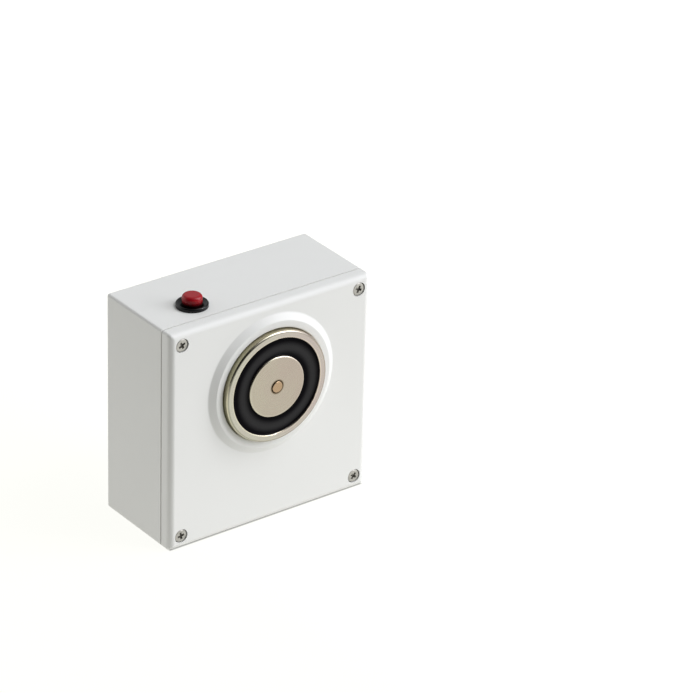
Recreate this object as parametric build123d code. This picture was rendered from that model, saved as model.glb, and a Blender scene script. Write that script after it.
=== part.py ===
from build123d import *
import os
from math import radians, tan

# Magnetic door holder for a wall: a white moulded box with a round electromagnet in its front, which
# holds the steel keeper on an open door, and a red button on top that cuts the current.
# Millimetres. The origin is the centre of the face that meets the wall. +X is to the right as seen from
# the door, -Y points from the wall to the door, and +Z is up.
# A piece that faces the door is drawn lying down, with x across, y up and z out from the wall, and
# stand_up turns it into that frame. In it, a depth is a distance out from the wall face.

# Case: two white mouldings that meet at a shadow gap
CASE_WIDTH = 110.0
CASE_HEIGHT = 110.0
CASE_DEPTH = 50.0
SIDE_WALL = 2.5
BACK_WALL = 3.0
FACE_WALL = 2.8
COVER_SKIRT = 6.6
SEAM_GAP = 0.8
SEAM_SHADOW = 0.6
SEAM_SEAT = 0.05
EDGE_ROUND = 1.2
FACE_ROUND = 2.8
BACK_ROUND = 0.6
TONGUE_WALL = 1.0
TONGUE_HEIGHT = 2.4
TONGUE_SLIP = 0.15

# Cover screws and the posts that they join
SCREW_INSET = 6.4
BOX_POST_RADIUS = 4.2
COVER_POST_RADIUS = 3.7
POST_PROUD = 0.4
COUNTERBORE_RADIUS = 3.4
COUNTERBORE_DEPTH = 2.15
COVER_SCREW_RADIUS = 1.5
COVER_SCREW_LENGTH = 14.0
COVER_SCREW_HEAD_RADIUS = 3.2
COVER_SCREW_HEAD_HEIGHT = 1.9
COVER_SCREW_TURNS = (28.0, 64.0, 11.0, 52.0)
SCREW_BORE_CLEARANCE = 0.2
THREAD_CLEARANCE = 0.05
BLIND_HOLE_SPARE = 1.5

# Every cross-head screw: its recess as shares of the head's radius, its rounding as a share of the height
RECESS_SPAN = 1.1
RECESS_WIDTH = 0.36
RECESS_DEPTH = 0.42
RECESS_TAPER = 10.0
HEAD_ROUND = 0.35

# Electromagnet: one turned steel pot with a pole, and what fills its window
POT_RADIUS = 27.5
POT_LENGTH = 27.0
POT_PROUD = 5.0
POT_EDGE = 1.1
WINDOW_RADIUS = 24.0
WINDOW_DEPTH = 20.0
POLE_RADIUS = 15.0
POLE_EDGE = 0.5
WINDOW_EDGE = 0.3
FILL_CLEARANCE = 0.05
BOBBIN_LENGTH = 16.0
BOBBIN_WALL = 1.2
BOBBIN_CLEARANCE = 0.2
WINDING_MARGIN = 0.6
RESIN_SUNK = 1.0
RESIN_DISH = 0.5
COIL_EXIT_SPREAD = 12.0
COIL_EXIT_CLEARANCE = 0.3

# Collar of the cover round the magnet
COLLAR_GAP = 0.15
COLLAR_RIM = 3.65
COLLAR_SLOPE = 3.2
COLLAR_HEIGHT = 2.15
COLLAR_ROUND = 0.8
COLLAR_LIP_ROUND = 0.7
COLLAR_FOOT_ROUND = 1.2
COLLAR_BELOW_ROUND = 2.2
GUIDE_WALL = 2.0
GUIDE_DEPTH = 3.6

# Ejector: a sprung brass pin in the pole that pushes the keeper off
PIN_RADIUS = 2.75
PIN_GAP = 0.45
PIN_PROUD = 0.4
PIN_FLANGE_RADIUS = 4.2
PIN_FLANGE_THICK = 2.0
PIN_STEM_RADIUS = 1.6
PIN_STEM_LENGTH = 2.5
PIN_ROUND = 0.3
POLE_LIP = 4.0
SLIDE_CLEARANCE = 0.05
REST_CLEARANCE = 0.05
PIN_SPRING_WIRE = 0.35
PIN_SPRING_RADIUS = 3.0
PIN_SPRING_TURNS = 5

# Back plate, folded bracket and the bolt that carries the magnet
PLATE_MARGIN = 10.0
PLATE_THICK = 2.0
PLATE_CORNER = 4.0
STUD_INSET = 3.0
STUD_RADIUS = 1.5
STUD_HEAD_RADIUS = 2.6
STUD_HEAD_HEIGHT = 1.2
BRACKET_SHEET = 2.0
BRACKET_BEND = 1.0
BRACKET_HEIGHT = 28.0
BRACKET_WIDTH = 48.0
BRACKET_FOOT = 15.0
FOOT_SCREW_INSET = 7.0
FOOT_SCREW_SPREAD = 18.0
FOOT_SCREW_RADIUS = 2.0
FOOT_SCREW_HEAD_RADIUS = 3.8
FOOT_SCREW_HEAD_HEIGHT = 2.4
BOLT_RADIUS = 5.0
BOLT_REACH = 11.8
BOLT_TAPPED = 13.0
BOLT_HEAD_FLATS = 16.0
BOLT_HEAD_HEIGHT = 6.4
BOLT_HOLE_CLEARANCE = 0.4
LOCK_WASHER_RADIUS = 9.0
LOCK_WASHER_THICK = 2.2
LOCK_WASHER_SLIT = 1.2

# Fixing to the wall, and the cable's way in
WALL_HOLE_INSET = 5.0
WALL_HOLE_RADIUS = 2.5
PLATE_HOLE_SPARE = 0.5
STUD_HOLE_CLEARANCE = 0.1
CABLE_ACROSS = 22.0
CABLE_RISE = 25.0
CABLE_BORE_RADIUS = 4.5
GROMMET_GROOVE_RADIUS = 8.0
GROMMET_LIP_RADIUS = 10.2
GROMMET_OUTER_LIP = 1.2
GROMMET_INNER_LIP = 1.6
GROMMET_SLIP = 0.1
LIP_RECESS_CLEARANCE = 0.4
PLATE_CABLE_CLEARANCE = 1.0

# Terminal block, drawn with its two wire holes upright
BLOCK_ACROSS = -12.0
BLOCK_RISE = 25.0
POLE_PITCH = 12.0
BLOCK_LENGTH = 17.0
BLOCK_BASE = 2.5
BARREL_RISE = 6.0
BARREL_RADIUS = 4.0
TOWER_RADIUS = 3.4
TOWER_TOP = 12.5
INSERT_RADIUS = 2.6
INSERT_BORE = 1.5
INSERT_LENGTH = 15.0
INSERT_CLEARANCE = 0.05
CLAMP_SPREAD = 9.0
CLAMP_SCREW_RADIUS = 1.25
CLAMP_HEAD_RADIUS = 1.8
CLAMP_HEAD_HEIGHT = 1.5
CLAMP_HEAD_RISE = 9.6
CLAMP_SLOT = 0.5
TOWER_BORE_CLEARANCE = 0.15
BLOCK_SCREW_RADIUS = 1.25
BLOCK_SCREW_HEAD_RADIUS = 2.4
BLOCK_SCREW_HEAD_HEIGHT = 1.6
BLOCK_WAIST_RADIUS = 2.8

# Suppression diode between the two poles, below the block
DIODE_DROP = 4.5
DIODE_RADIUS = 1.35
DIODE_LENGTH = 5.2
DIODE_LEG_RADIUS = 0.35
DIODE_BEND = 1.5

# Release button, drawn upright with z = 0 on the top of the case
BUTTON_BESIDE_MAGNET = 2.6
BUTTON_DEPTH = 30.8
BEZEL_RADIUS = 7.5
BEZEL_HEIGHT = 1.8
BEZEL_ROUND = 0.6
BEZEL_RIM = 0.8
DISH_DEPTH = 0.9
CAP_RADIUS = 4.75
CAP_PROUD = 5.8
CAP_ROUND = 1.7
CAP_FOOT = 0.4
CAP_SLIP = 0.1
STEM_RADIUS = 4.25
STEM_WALL = 1.1
STEM_FOOT_RADIUS = 2.0
CAP_CROWN = 2.2
PRESS_TRAVEL = 2.0
PRESS_SPARE = 0.2
SHOULDER_DROP = 7.0
CHAMBER_RADIUS = 5.0
SNAP_RADIUS = 4.85
SNAP_HEIGHT = 1.1
SNAP_GAP = 0.1
SNAP_SLOT = 1.0
BUSH_RADIUS = 5.95
BUSH_CLEARANCE = 0.15
TIP_CLEARANCE = 0.4
TIP_REACH = 2.2
BLADE_THICK = 0.8
BLADE_WIDTH = 3.0
BLADE_OFFSET = 3.6
BLADE_DROP = 6.5
BLADE_HOLE_RADIUS = 0.7
BLADE_SLIP = 0.05
CONTACT_GAP = 0.05
CONTACT_RADIUS = 3.05
CONTACT_THICK = 0.8
SPIGOT_RADIUS = 0.75
SPIGOT_CLEARANCE = 0.05
BUTTON_SPRING_LENGTH = 5.25
BUTTON_SPRING_WIRE = 0.25
BUTTON_SPRING_RADIUS = 2.4
BUTTON_SPRING_TURNS = 4
BASE_PLUG = 3.0
BASE_FLANGE = 1.0
BASE_BOSS_RADIUS = 1.8
BASE_BOSS_HEIGHT = 0.9
NUT_FLATS = 14.0
NUT_THICK = 2.5
NUT_CLEARANCE = 0.05
TOOTH_WASHER_RADIUS = 7.9
TOOTH_WASHER_THICK = 0.6
TOOTH_COUNT = 12

# Leads: the insulated wire and its bare ends
LEAD_RADIUS = 1.0
BARE_RADIUS = 0.45
BARE_LENGTH = 6.0
LEAD_STANDOFF = 1.0
LEAD_DROP = 5.0
INSERT_RUN = 8.5
COIL_RUN = 12.9
ARC_SHARE = 0.45
FEED_BENDS = ((-1.5, -12.5, -6.0), (-6.5, -18.0, 6.0), (-2.0, -24.5, 15.0))
SWITCHED_BENDS = ((-3.0, -33.0, 14.0), (-7.5, -25.5, 3.0), (-0.5, -16.0, -6.0), (15.5, -13.5, -6.5))
RETURN_BENDS = ((28.5, -12.5, -9.5), (23.5, -11.0, -14.0))

# Radii that follow from others
PIN_HOLE_RADIUS = PIN_RADIUS + PIN_GAP
CHAMBER_BORE = PIN_FLANGE_RADIUS + SLIDE_CLEARANCE
COVER_HOLE_RADIUS = POT_RADIUS + COLLAR_GAP
COLLAR_TOP_RADIUS = COVER_HOLE_RADIUS + COLLAR_RIM
COLLAR_BASE_RADIUS = COLLAR_TOP_RADIUS + COLLAR_SLOPE
BUTTON_HOLE_RADIUS = BUSH_RADIUS + BUSH_CLEARANCE
NUT_BORE = BUSH_RADIUS + NUT_CLEARANCE
COIL_EXIT_RADIUS = (POLE_RADIUS + WINDOW_RADIUS) / 2
COIL_HOLE_RADIUS = LEAD_RADIUS + COIL_EXIT_CLEARANCE

# Widths, heights and places that follow from the case and the magnet
MAGNET_RISE = CASE_HEIGHT / 2 - FACE_ROUND - COLLAR_BELOW_ROUND - COLLAR_BASE_RADIUS
PLATE_WIDTH = CASE_WIDTH - 2 * PLATE_MARGIN
PLATE_HEIGHT = CASE_HEIGHT - 2 * PLATE_MARGIN
CABLE_UP = CABLE_RISE - CASE_HEIGHT / 2
BLOCK_UP = BLOCK_RISE - CASE_HEIGHT / 2
BUTTON_ACROSS = -(POT_RADIUS + BUTTON_BESIDE_MAGNET)

# Depths out from the wall face
BOX_DEPTH = CASE_DEPTH - COVER_SKIRT - SEAM_GAP
SKIRT_END = CASE_DEPTH - COVER_SKIRT
TONGUE_TOP = BOX_DEPTH + TONGUE_HEIGHT
POST_TOP = BOX_DEPTH + POST_PROUD
FACE_BACK = CASE_DEPTH - FACE_WALL
COUNTERBORE_FLOOR = CASE_DEPTH - COUNTERBORE_DEPTH
POT_FACE = CASE_DEPTH + POT_PROUD
POT_BACK = POT_FACE - POT_LENGTH
WINDOW_FLOOR = POT_FACE - WINDOW_DEPTH
BOBBIN_TOP = WINDOW_FLOOR + BOBBIN_LENGTH
RESIN_TOP = POT_FACE - RESIN_SUNK
PLATE_FRONT = BACK_WALL + PLATE_THICK
FOOT_FRONT = PLATE_FRONT + BRACKET_SHEET
BRACKET_SEAT = POT_BACK - BRACKET_SHEET
BOLT_HEAD_SEAT = BRACKET_SEAT - LOCK_WASHER_THICK
BOLT_END = POT_BACK + BOLT_REACH
PIN_SHOULDER = POT_FACE - POLE_LIP
PIN_FLANGE_TOP = PIN_SHOULDER - REST_CLEARANCE
PIN_FLANGE_FOOT = PIN_FLANGE_TOP - PIN_FLANGE_THICK
WIRE_DEPTH = PLATE_FRONT + BARREL_RISE

# Levels of the button, from the top of the case down
SHOULDER_LEVEL = -SHOULDER_DROP
SNAP_TOP = SHOULDER_LEVEL - SNAP_GAP
SNAP_END = SNAP_TOP - SNAP_HEIGHT
TIP_TOP = SNAP_END - PRESS_TRAVEL - TIP_CLEARANCE
TIP_UNDERSIDE = TIP_TOP - BLADE_THICK
CONTACT_TOP = TIP_UNDERSIDE - CONTACT_GAP
CONTACT_UNDERSIDE = CONTACT_TOP - CONTACT_THICK
BASE_TOP = CONTACT_UNDERSIDE - BUTTON_SPRING_LENGTH
BUSH_END = BASE_TOP - BASE_PLUG
BASE_END = BUSH_END - BASE_FLANGE
BLADE_END = BASE_END - BLADE_DROP

STANDING = (Align.CENTER, Align.CENTER, Align.MIN)


def stand_up(piece):
    """Turns a piece drawn with z out from the wall into the frame of the wall."""
    return Plane.XZ * piece


def rod(radius, low, high, across=0.0, up=0.0):
    """A round bar along z between two levels."""
    return Pos(across, up, low) * Cylinder(radius, high - low, align=STANDING)


def slab(width, height, corner, low, high):
    """A flat block with round corners between two levels."""
    return Pos(0, 0, low) * extrude(RectangleRounded(width, height, corner), amount=high - low)


def bar(width, height, low, high, across=0.0, up=0.0):
    """A square-edged block between two levels."""
    return Pos(across, up, low) * Box(width, height, high - low, align=STANDING)


def four_corners(half_width, half_height):
    """The corners of a rectangle: top left, top right, bottom left, bottom right."""
    return [(x, y) for y in (half_height, -half_height) for x in (-half_width, half_width)]


def screw_places():
    """Where the cover screws stand."""
    return four_corners(CASE_WIDTH / 2 - SCREW_INSET, CASE_HEIGHT / 2 - SCREW_INSET)


def wall_hole_places():
    """Where the wall screws go."""
    return four_corners(PLATE_WIDTH / 2 - WALL_HOLE_INSET, PLATE_HEIGHT / 2 - WALL_HOLE_INSET)


def foot_screw_places():
    """Where the bracket's feet are screwed to the back plate."""
    reach = BRACKET_WIDTH / 2 + BRACKET_FOOT - FOOT_SCREW_INSET
    return [(x, MAGNET_RISE + y) for x, y in four_corners(reach, FOOT_SCREW_SPREAD / 2)]


def stud_places():
    """Where the moulded studs hold the back plate."""
    across, up = PLATE_WIDTH / 2 - STUD_INSET, PLATE_HEIGHT / 2 - STUD_INSET
    return [(across, 0), (-across, 0), (0, up), (0, -up)]


def pole_places():
    """Where the two poles of the terminal block stand across the case."""
    return [BLOCK_ACROSS - POLE_PITCH / 2, BLOCK_ACROSS + POLE_PITCH / 2]


def coil_exit(side):
    """Where a coil lead leaves the magnet: -1 is the left one and 1 the right one."""
    arm = Vector(0, -COIL_EXIT_RADIUS).rotate(Axis.Z, side * COIL_EXIT_SPREAD)
    return arm.X, MAGNET_RISE + arm.Y


def cross_head_screw(head_radius, head_height, shank_radius, length, turn=0.0):
    """A pan-head screw with a cross recess, its seat at z = 0 and its shank below."""
    head = rod(head_radius, 0, head_height)
    head = fillet(head.edges().sort_by(Axis.Z)[-1], head_height * HEAD_ROUND)
    span, width = head_radius * RECESS_SPAN, head_radius * RECESS_WIDTH
    cross = Rectangle(span, width) + Rectangle(width, span)
    recess = Pos(0, 0, head_height) * extrude(cross, amount=-head_radius * RECESS_DEPTH, taper=RECESS_TAPER)
    shank = rod(shank_radius, -length, 0)
    shank = chamfer(shank.edges().sort_by(Axis.Z)[0], shank_radius * 0.4)
    return Rot(0, 0, turn) * (head + shank - recess)


def coil_spring(mean_radius, wire_radius, length, turns):
    """A compression spring along z, from its seat at z = 0 to the given length."""
    rise = length - 2 * wire_radius
    path = Helix(pitch=rise / turns, height=rise, radius=mean_radius)
    section = Plane(origin=path @ 0, z_dir=path % 0) * Circle(wire_radius)
    return Pos(0, 0, wire_radius) * sweep(section, path=path, is_frenet=True)


def rear_box():
    """The box that meets the wall: open to the door, with a tongue, four screw posts and four studs."""
    box = slab(CASE_WIDTH, CASE_HEIGHT, EDGE_ROUND, 0, BOX_DEPTH)
    box = fillet(box.faces().sort_by(Axis.Z)[0].edges(), BACK_ROUND)
    step = 2 * SEAM_SHADOW
    box += slab(CASE_WIDTH - step, CASE_HEIGHT - step, EDGE_ROUND, BACK_WALL, SKIRT_END - SEAM_SEAT)
    inner_width, inner_height = CASE_WIDTH - 2 * SIDE_WALL, CASE_HEIGHT - 2 * SIDE_WALL
    tongue = 2 * TONGUE_WALL
    box += slab(inner_width + tongue, inner_height + tongue, EDGE_ROUND, BACK_WALL, TONGUE_TOP)
    box -= bar(inner_width, inner_height, BACK_WALL, TONGUE_TOP)
    for x, y in screw_places():
        box += rod(BOX_POST_RADIUS, BACK_WALL / 2, POST_TOP, x, y)
        pilot_end = COUNTERBORE_FLOOR - COVER_SCREW_LENGTH - BLIND_HOLE_SPARE
        box -= rod(COVER_SCREW_RADIUS + THREAD_CLEARANCE, pilot_end, POST_TOP, x, y)
    for x, y in stud_places():
        box += rod(STUD_RADIUS, BACK_WALL / 2, PLATE_FRONT, x, y)
        head = rod(STUD_HEAD_RADIUS, PLATE_FRONT, PLATE_FRONT + STUD_HEAD_HEIGHT, x, y)
        box += fillet(head.edges().sort_by(Axis.Z)[-1], STUD_HEAD_HEIGHT * 0.6)
    for x, y in wall_hole_places():
        box -= rod(WALL_HOLE_RADIUS, 0, BACK_WALL, x, y)
    box -= rod(GROMMET_GROOVE_RADIUS, 0, BACK_WALL, CABLE_ACROSS, CABLE_UP)
    lip_recess = GROMMET_LIP_RADIUS + LIP_RECESS_CLEARANCE
    box -= rod(lip_recess, 0, GROMMET_OUTER_LIP + GROMMET_SLIP, CABLE_ACROSS, CABLE_UP)
    top = CASE_HEIGHT / 2
    return stand_up(box) - rod(BUTTON_HOLE_RADIUS, top - SIDE_WALL, top, BUTTON_ACROSS, -BUTTON_DEPTH)


def front_cover():
    """The cover: rounded all round its front, with a sloping collar, a guide ring and four screw posts."""
    cover = bar(CASE_WIDTH, CASE_HEIGHT, SKIRT_END, CASE_DEPTH)
    cover = fillet(cover.edges().filter_by(Axis.Z), EDGE_ROUND)
    cover = fillet(cover.faces().sort_by(Axis.Z)[-1].edges(), FACE_ROUND)
    inner_width, inner_height = CASE_WIDTH - 2 * SIDE_WALL, CASE_HEIGHT - 2 * SIDE_WALL
    cover -= bar(inner_width, inner_height, SKIRT_END, FACE_BACK)
    rebate = 2 * (TONGUE_WALL + TONGUE_SLIP)
    cover -= bar(inner_width + rebate, inner_height + rebate, SKIRT_END, TONGUE_TOP)
    for x, y in screw_places():
        cover += rod(COVER_POST_RADIUS, POST_TOP, FACE_BACK, x, y)
        cover -= rod(COVER_SCREW_RADIUS + SCREW_BORE_CLEARANCE, POST_TOP, CASE_DEPTH, x, y)
        cover -= rod(COUNTERBORE_RADIUS, COUNTERBORE_FLOOR, CASE_DEPTH, x, y)
    rise = COLLAR_HEIGHT
    collar = Cone(COLLAR_BASE_RADIUS, COLLAR_TOP_RADIUS, rise, align=STANDING)
    collar = fillet(collar.edges().sort_by(Axis.Z)[-1], COLLAR_ROUND)
    cover += Pos(0, MAGNET_RISE, CASE_DEPTH) * collar
    circles = cover.edges().filter_by(GeomType.CIRCLE)
    foot = circles.filter_by(lambda edge: abs(edge.radius - COLLAR_BASE_RADIUS) < COLLAR_ROUND / 2)
    cover = fillet(foot, COLLAR_FOOT_ROUND)
    guide_end = FACE_BACK - GUIDE_DEPTH
    cover += rod(COVER_HOLE_RADIUS + GUIDE_WALL, guide_end, FACE_BACK, 0, MAGNET_RISE)
    cover -= rod(COVER_HOLE_RADIUS, guide_end, CASE_DEPTH + rise, 0, MAGNET_RISE)
    lip = cover.edges().filter_by(GeomType.CIRCLE).group_by(Axis.Z)[-1].sort_by(SortBy.RADIUS)[0]
    return stand_up(fillet(lip, COLLAR_LIP_ROUND))


def cover_screw(number):
    """One of the four screws that hold the cover, sunk below its face."""
    x, y = screw_places()[number]
    screw = cross_head_screw(
        COVER_SCREW_HEAD_RADIUS,
        COVER_SCREW_HEAD_HEIGHT,
        COVER_SCREW_RADIUS,
        COVER_SCREW_LENGTH,
        COVER_SCREW_TURNS[number],
    )
    return stand_up(Pos(x, y, COUNTERBORE_FLOOR) * screw)


def back_plate():
    """The steel plate that spreads the magnet's pull over the wall screws."""
    plate = slab(PLATE_WIDTH, PLATE_HEIGHT, PLATE_CORNER, BACK_WALL, PLATE_FRONT)
    for x, y in wall_hole_places():
        plate -= rod(WALL_HOLE_RADIUS + PLATE_HOLE_SPARE, BACK_WALL, PLATE_FRONT, x, y)
    for x, y in foot_screw_places():
        plate -= rod(FOOT_SCREW_RADIUS + THREAD_CLEARANCE, BACK_WALL, PLATE_FRONT, x, y)
    for x, y in stud_places():
        plate -= rod(STUD_RADIUS + STUD_HOLE_CLEARANCE, BACK_WALL, PLATE_FRONT, x, y)
    plate -= rod(BLOCK_SCREW_RADIUS + THREAD_CLEARANCE, BACK_WALL, PLATE_FRONT, BLOCK_ACROSS, BLOCK_UP)
    cable_hole = GROMMET_LIP_RADIUS + PLATE_CABLE_CLEARANCE
    plate -= rod(cable_hole, BACK_WALL, PLATE_FRONT, CABLE_ACROSS, CABLE_UP)
    return stand_up(plate)


def magnet_bracket():
    """A hat folded from one strip of sheet steel, screwed to the back plate, with the magnet on its top."""
    half = (BRACKET_WIDTH - BRACKET_SHEET) / 2
    toe = BRACKET_WIDTH / 2 + BRACKET_FOOT
    foot_level, top_level = PLATE_FRONT + BRACKET_SHEET / 2, POT_BACK - BRACKET_SHEET / 2
    line = FilletPolyline(
        (-toe, foot_level),
        (-half, foot_level),
        (-half, top_level),
        (half, top_level),
        (half, foot_level),
        (toe, foot_level),
        radius=BRACKET_BEND + BRACKET_SHEET / 2,
    )
    strip = extrude(trace(line, line_width=BRACKET_SHEET), amount=BRACKET_HEIGHT / 2, both=True)
    hat = Pos(0, MAGNET_RISE, 0) * Rot(90, 0, 0) * strip
    hat -= rod(BOLT_RADIUS + BOLT_HOLE_CLEARANCE, BRACKET_SEAT, POT_BACK, 0, MAGNET_RISE)
    for x, y in foot_screw_places():
        hat -= rod(FOOT_SCREW_RADIUS + SCREW_BORE_CLEARANCE, PLATE_FRONT, FOOT_FRONT, x, y)
    return stand_up(hat)


def bracket_screw(number):
    """One of the four screws that hold the bracket's feet."""
    x, y = foot_screw_places()[number]
    length = FOOT_FRONT - BACK_WALL
    screw = cross_head_screw(FOOT_SCREW_HEAD_RADIUS, FOOT_SCREW_HEAD_HEIGHT, FOOT_SCREW_RADIUS, length)
    return stand_up(Pos(x, y, FOOT_FRONT) * screw)


def magnet_bolt():
    """The hexagon bolt that pulls the magnet on to the bracket."""
    head_back = BOLT_HEAD_SEAT - BOLT_HEAD_HEIGHT
    hexagon = RegularPolygon(BOLT_HEAD_FLATS / 2, 6, major_radius=False)
    head = Pos(0, MAGNET_RISE, head_back) * extrude(hexagon, amount=BOLT_HEAD_HEIGHT)
    turned = rod(BOLT_HEAD_FLATS * 0.6, head_back, BOLT_HEAD_SEAT, 0, MAGNET_RISE)
    turned = chamfer(turned.edges().sort_by(Axis.Z)[0], BOLT_HEAD_FLATS * 0.1)
    shank = rod(BOLT_RADIUS, BOLT_HEAD_SEAT, BOLT_END, 0, MAGNET_RISE)
    shank = chamfer(shank.edges().sort_by(Axis.Z)[-1], BOLT_RADIUS * 0.15)
    return stand_up((head & turned) + shank)


def lock_washer():
    """A split spring washer under the bolt's head."""
    washer = rod(LOCK_WASHER_RADIUS, BOLT_HEAD_SEAT, BRACKET_SEAT)
    washer -= rod(BOLT_RADIUS + BOLT_HOLE_CLEARANCE / 2, BOLT_HEAD_SEAT, BRACKET_SEAT)
    slit = Box(LOCK_WASHER_SLIT, LOCK_WASHER_RADIUS, 3 * LOCK_WASHER_THICK)
    slit = Pos(0, LOCK_WASHER_RADIUS, (BOLT_HEAD_SEAT + BRACKET_SEAT) / 2) * Rot(0, 25, 0) * slit
    return stand_up(Pos(0, MAGNET_RISE, 0) * (washer - slit))


def magnet_pot():
    """The turned steel pot: rim and pole in one piece, bored for the ejector and tapped for the bolt."""
    pot = rod(POT_RADIUS, POT_BACK, POT_FACE)
    pot = fillet(pot.edges().sort_by(Axis.Z)[-1], POT_EDGE)
    window = rod(WINDOW_RADIUS, WINDOW_FLOOR, POT_FACE) - rod(POLE_RADIUS, WINDOW_FLOOR, POT_FACE)
    pot -= window
    circles = pot.edges().filter_by(GeomType.CIRCLE).group_by(Axis.Z)[-1].sort_by(SortBy.RADIUS)
    pot = fillet(circles[0], POLE_EDGE)
    circles = pot.edges().filter_by(GeomType.CIRCLE).group_by(Axis.Z)[-1].sort_by(SortBy.RADIUS)
    pot = fillet(circles[1], WINDOW_EDGE)
    pot -= rod(PIN_HOLE_RADIUS, PIN_SHOULDER, POT_FACE)
    pot -= rod(CHAMBER_BORE, POT_BACK, PIN_SHOULDER)
    pot -= rod(BOLT_RADIUS + THREAD_CLEARANCE, POT_BACK, POT_BACK + BOLT_TAPPED)
    pot = Pos(0, MAGNET_RISE, 0) * pot
    for side in (-1, 1):
        pot -= rod(COIL_HOLE_RADIUS, POT_BACK, WINDOW_FLOOR, *coil_exit(side))
    return stand_up(pot)


def coil_bobbin():
    """The spool that the coil is wound on."""
    low, high = WINDOW_FLOOR, BOBBIN_TOP
    inner, outer = POLE_RADIUS + BOBBIN_CLEARANCE, WINDOW_RADIUS - BOBBIN_CLEARANCE
    spool = rod(outer, low, high) - rod(inner, low, high)
    groove = rod(outer, low + BOBBIN_WALL, high - BOBBIN_WALL)
    groove -= rod(inner + BOBBIN_WALL, low + BOBBIN_WALL, high - BOBBIN_WALL)
    return stand_up(Pos(0, MAGNET_RISE, 0) * (spool - groove))


def coil_winding():
    """The copper winding, between the spool's flanges."""
    low = WINDOW_FLOOR + BOBBIN_WALL + FILL_CLEARANCE
    high = BOBBIN_TOP - BOBBIN_WALL - FILL_CLEARANCE
    inner = POLE_RADIUS + BOBBIN_CLEARANCE + BOBBIN_WALL + FILL_CLEARANCE
    outer = WINDOW_RADIUS - BOBBIN_CLEARANCE - WINDING_MARGIN
    return stand_up(Pos(0, MAGNET_RISE, 0) * (rod(outer, low, high) - rod(inner, low, high)))


def resin_ring():
    """The black resin cast over the coil: it creeps up both walls and sinks a little between them."""
    inner, outer = POLE_RADIUS + FILL_CLEARANCE, WINDOW_RADIUS - FILL_CLEARANCE
    middle = (inner + outer) / 2
    outline = Polyline((inner, RESIN_TOP), (inner, BOBBIN_TOP), (outer, BOBBIN_TOP), (outer, RESIN_TOP))
    top = ThreePointArc((outer, RESIN_TOP), (middle, RESIN_TOP - RESIN_DISH), (inner, RESIN_TOP))
    section = Plane.XZ * make_face(outline + top)
    return stand_up(Pos(0, MAGNET_RISE, 0) * revolve(section, axis=Axis.Z))


def ejector_pin():
    """The brass pin: its flange slides in the pole's bore and its stem centres the spring."""
    face = POT_FACE + PIN_PROUD
    pin = rod(PIN_RADIUS, PIN_FLANGE_TOP, face)
    pin = fillet(pin.edges().sort_by(Axis.Z)[-1], PIN_ROUND)
    pin += rod(PIN_FLANGE_RADIUS, PIN_FLANGE_FOOT, PIN_FLANGE_TOP)
    pin += rod(PIN_STEM_RADIUS, PIN_FLANGE_FOOT - PIN_STEM_LENGTH, PIN_FLANGE_FOOT)
    return stand_up(Pos(0, MAGNET_RISE, 0) * pin)


def ejector_spring():
    """The spring behind the pin, seated on the end of the magnet's bolt."""
    length = PIN_FLANGE_FOOT - BOLT_END
    spring = coil_spring(PIN_SPRING_RADIUS, PIN_SPRING_WIRE, length, PIN_SPRING_TURNS)
    return stand_up(Pos(0, MAGNET_RISE, BOLT_END) * spring)


def cable_grommet():
    """The rubber ring that lines the cable's hole, with a lip on each side of the wall of the box."""
    low = GROMMET_SLIP
    groove_low, groove_high = low + GROMMET_OUTER_LIP, BACK_WALL
    high = BACK_WALL + GROMMET_INNER_LIP
    ring = rod(GROMMET_LIP_RADIUS, low, groove_low)
    ring += rod(GROMMET_GROOVE_RADIUS - GROMMET_SLIP, groove_low, groove_high)
    ring += rod(GROMMET_LIP_RADIUS, groove_high, high)
    ring -= rod(CABLE_BORE_RADIUS, low, high)
    return stand_up(Pos(CABLE_ACROSS, CABLE_UP, 0) * ring)


def clamp_places():
    """Each clamp screw's place, across and up: both poles above, then both below."""
    heights = (BLOCK_UP + CLAMP_SPREAD / 2, BLOCK_UP - CLAMP_SPREAD / 2)
    return [(x, y) for y in heights for x in pole_places()]


def terminal_block():
    """The moulded block: two barrels for the brass inserts, each with two screw towers, on one base."""
    top = PLATE_FRONT + TOWER_TOP
    block = bar(POLE_PITCH + 2 * BARREL_RADIUS, BLOCK_LENGTH, PLATE_FRONT, PLATE_FRONT + BLOCK_BASE)
    block = Pos(BLOCK_ACROSS, BLOCK_UP, 0) * block
    for x in pole_places():
        block += bar(2 * BARREL_RADIUS, BLOCK_LENGTH, PLATE_FRONT, WIRE_DEPTH, x, BLOCK_UP)
        block += Pos(x, BLOCK_UP, WIRE_DEPTH) * Rot(90, 0, 0) * Cylinder(BARREL_RADIUS, BLOCK_LENGTH)
    for x, y in clamp_places():
        block += rod(TOWER_RADIUS, WIRE_DEPTH, top, x, y)
    waist_low = PLATE_FRONT + BLOCK_BASE
    block -= rod(BLOCK_WAIST_RADIUS, waist_low, top, BLOCK_ACROSS, BLOCK_UP)
    block -= rod(BLOCK_SCREW_RADIUS + SCREW_BORE_CLEARANCE, PLATE_FRONT, waist_low, BLOCK_ACROSS, BLOCK_UP)
    for x in pole_places():
        bore = Cylinder(INSERT_RADIUS + INSERT_CLEARANCE, BLOCK_LENGTH)
        block -= Pos(x, BLOCK_UP, WIRE_DEPTH) * Rot(90, 0, 0) * bore
    for x, y in clamp_places():
        block -= rod(CLAMP_HEAD_RADIUS + TOWER_BORE_CLEARANCE, WIRE_DEPTH, top, x, y)
    return stand_up(block)


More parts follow.
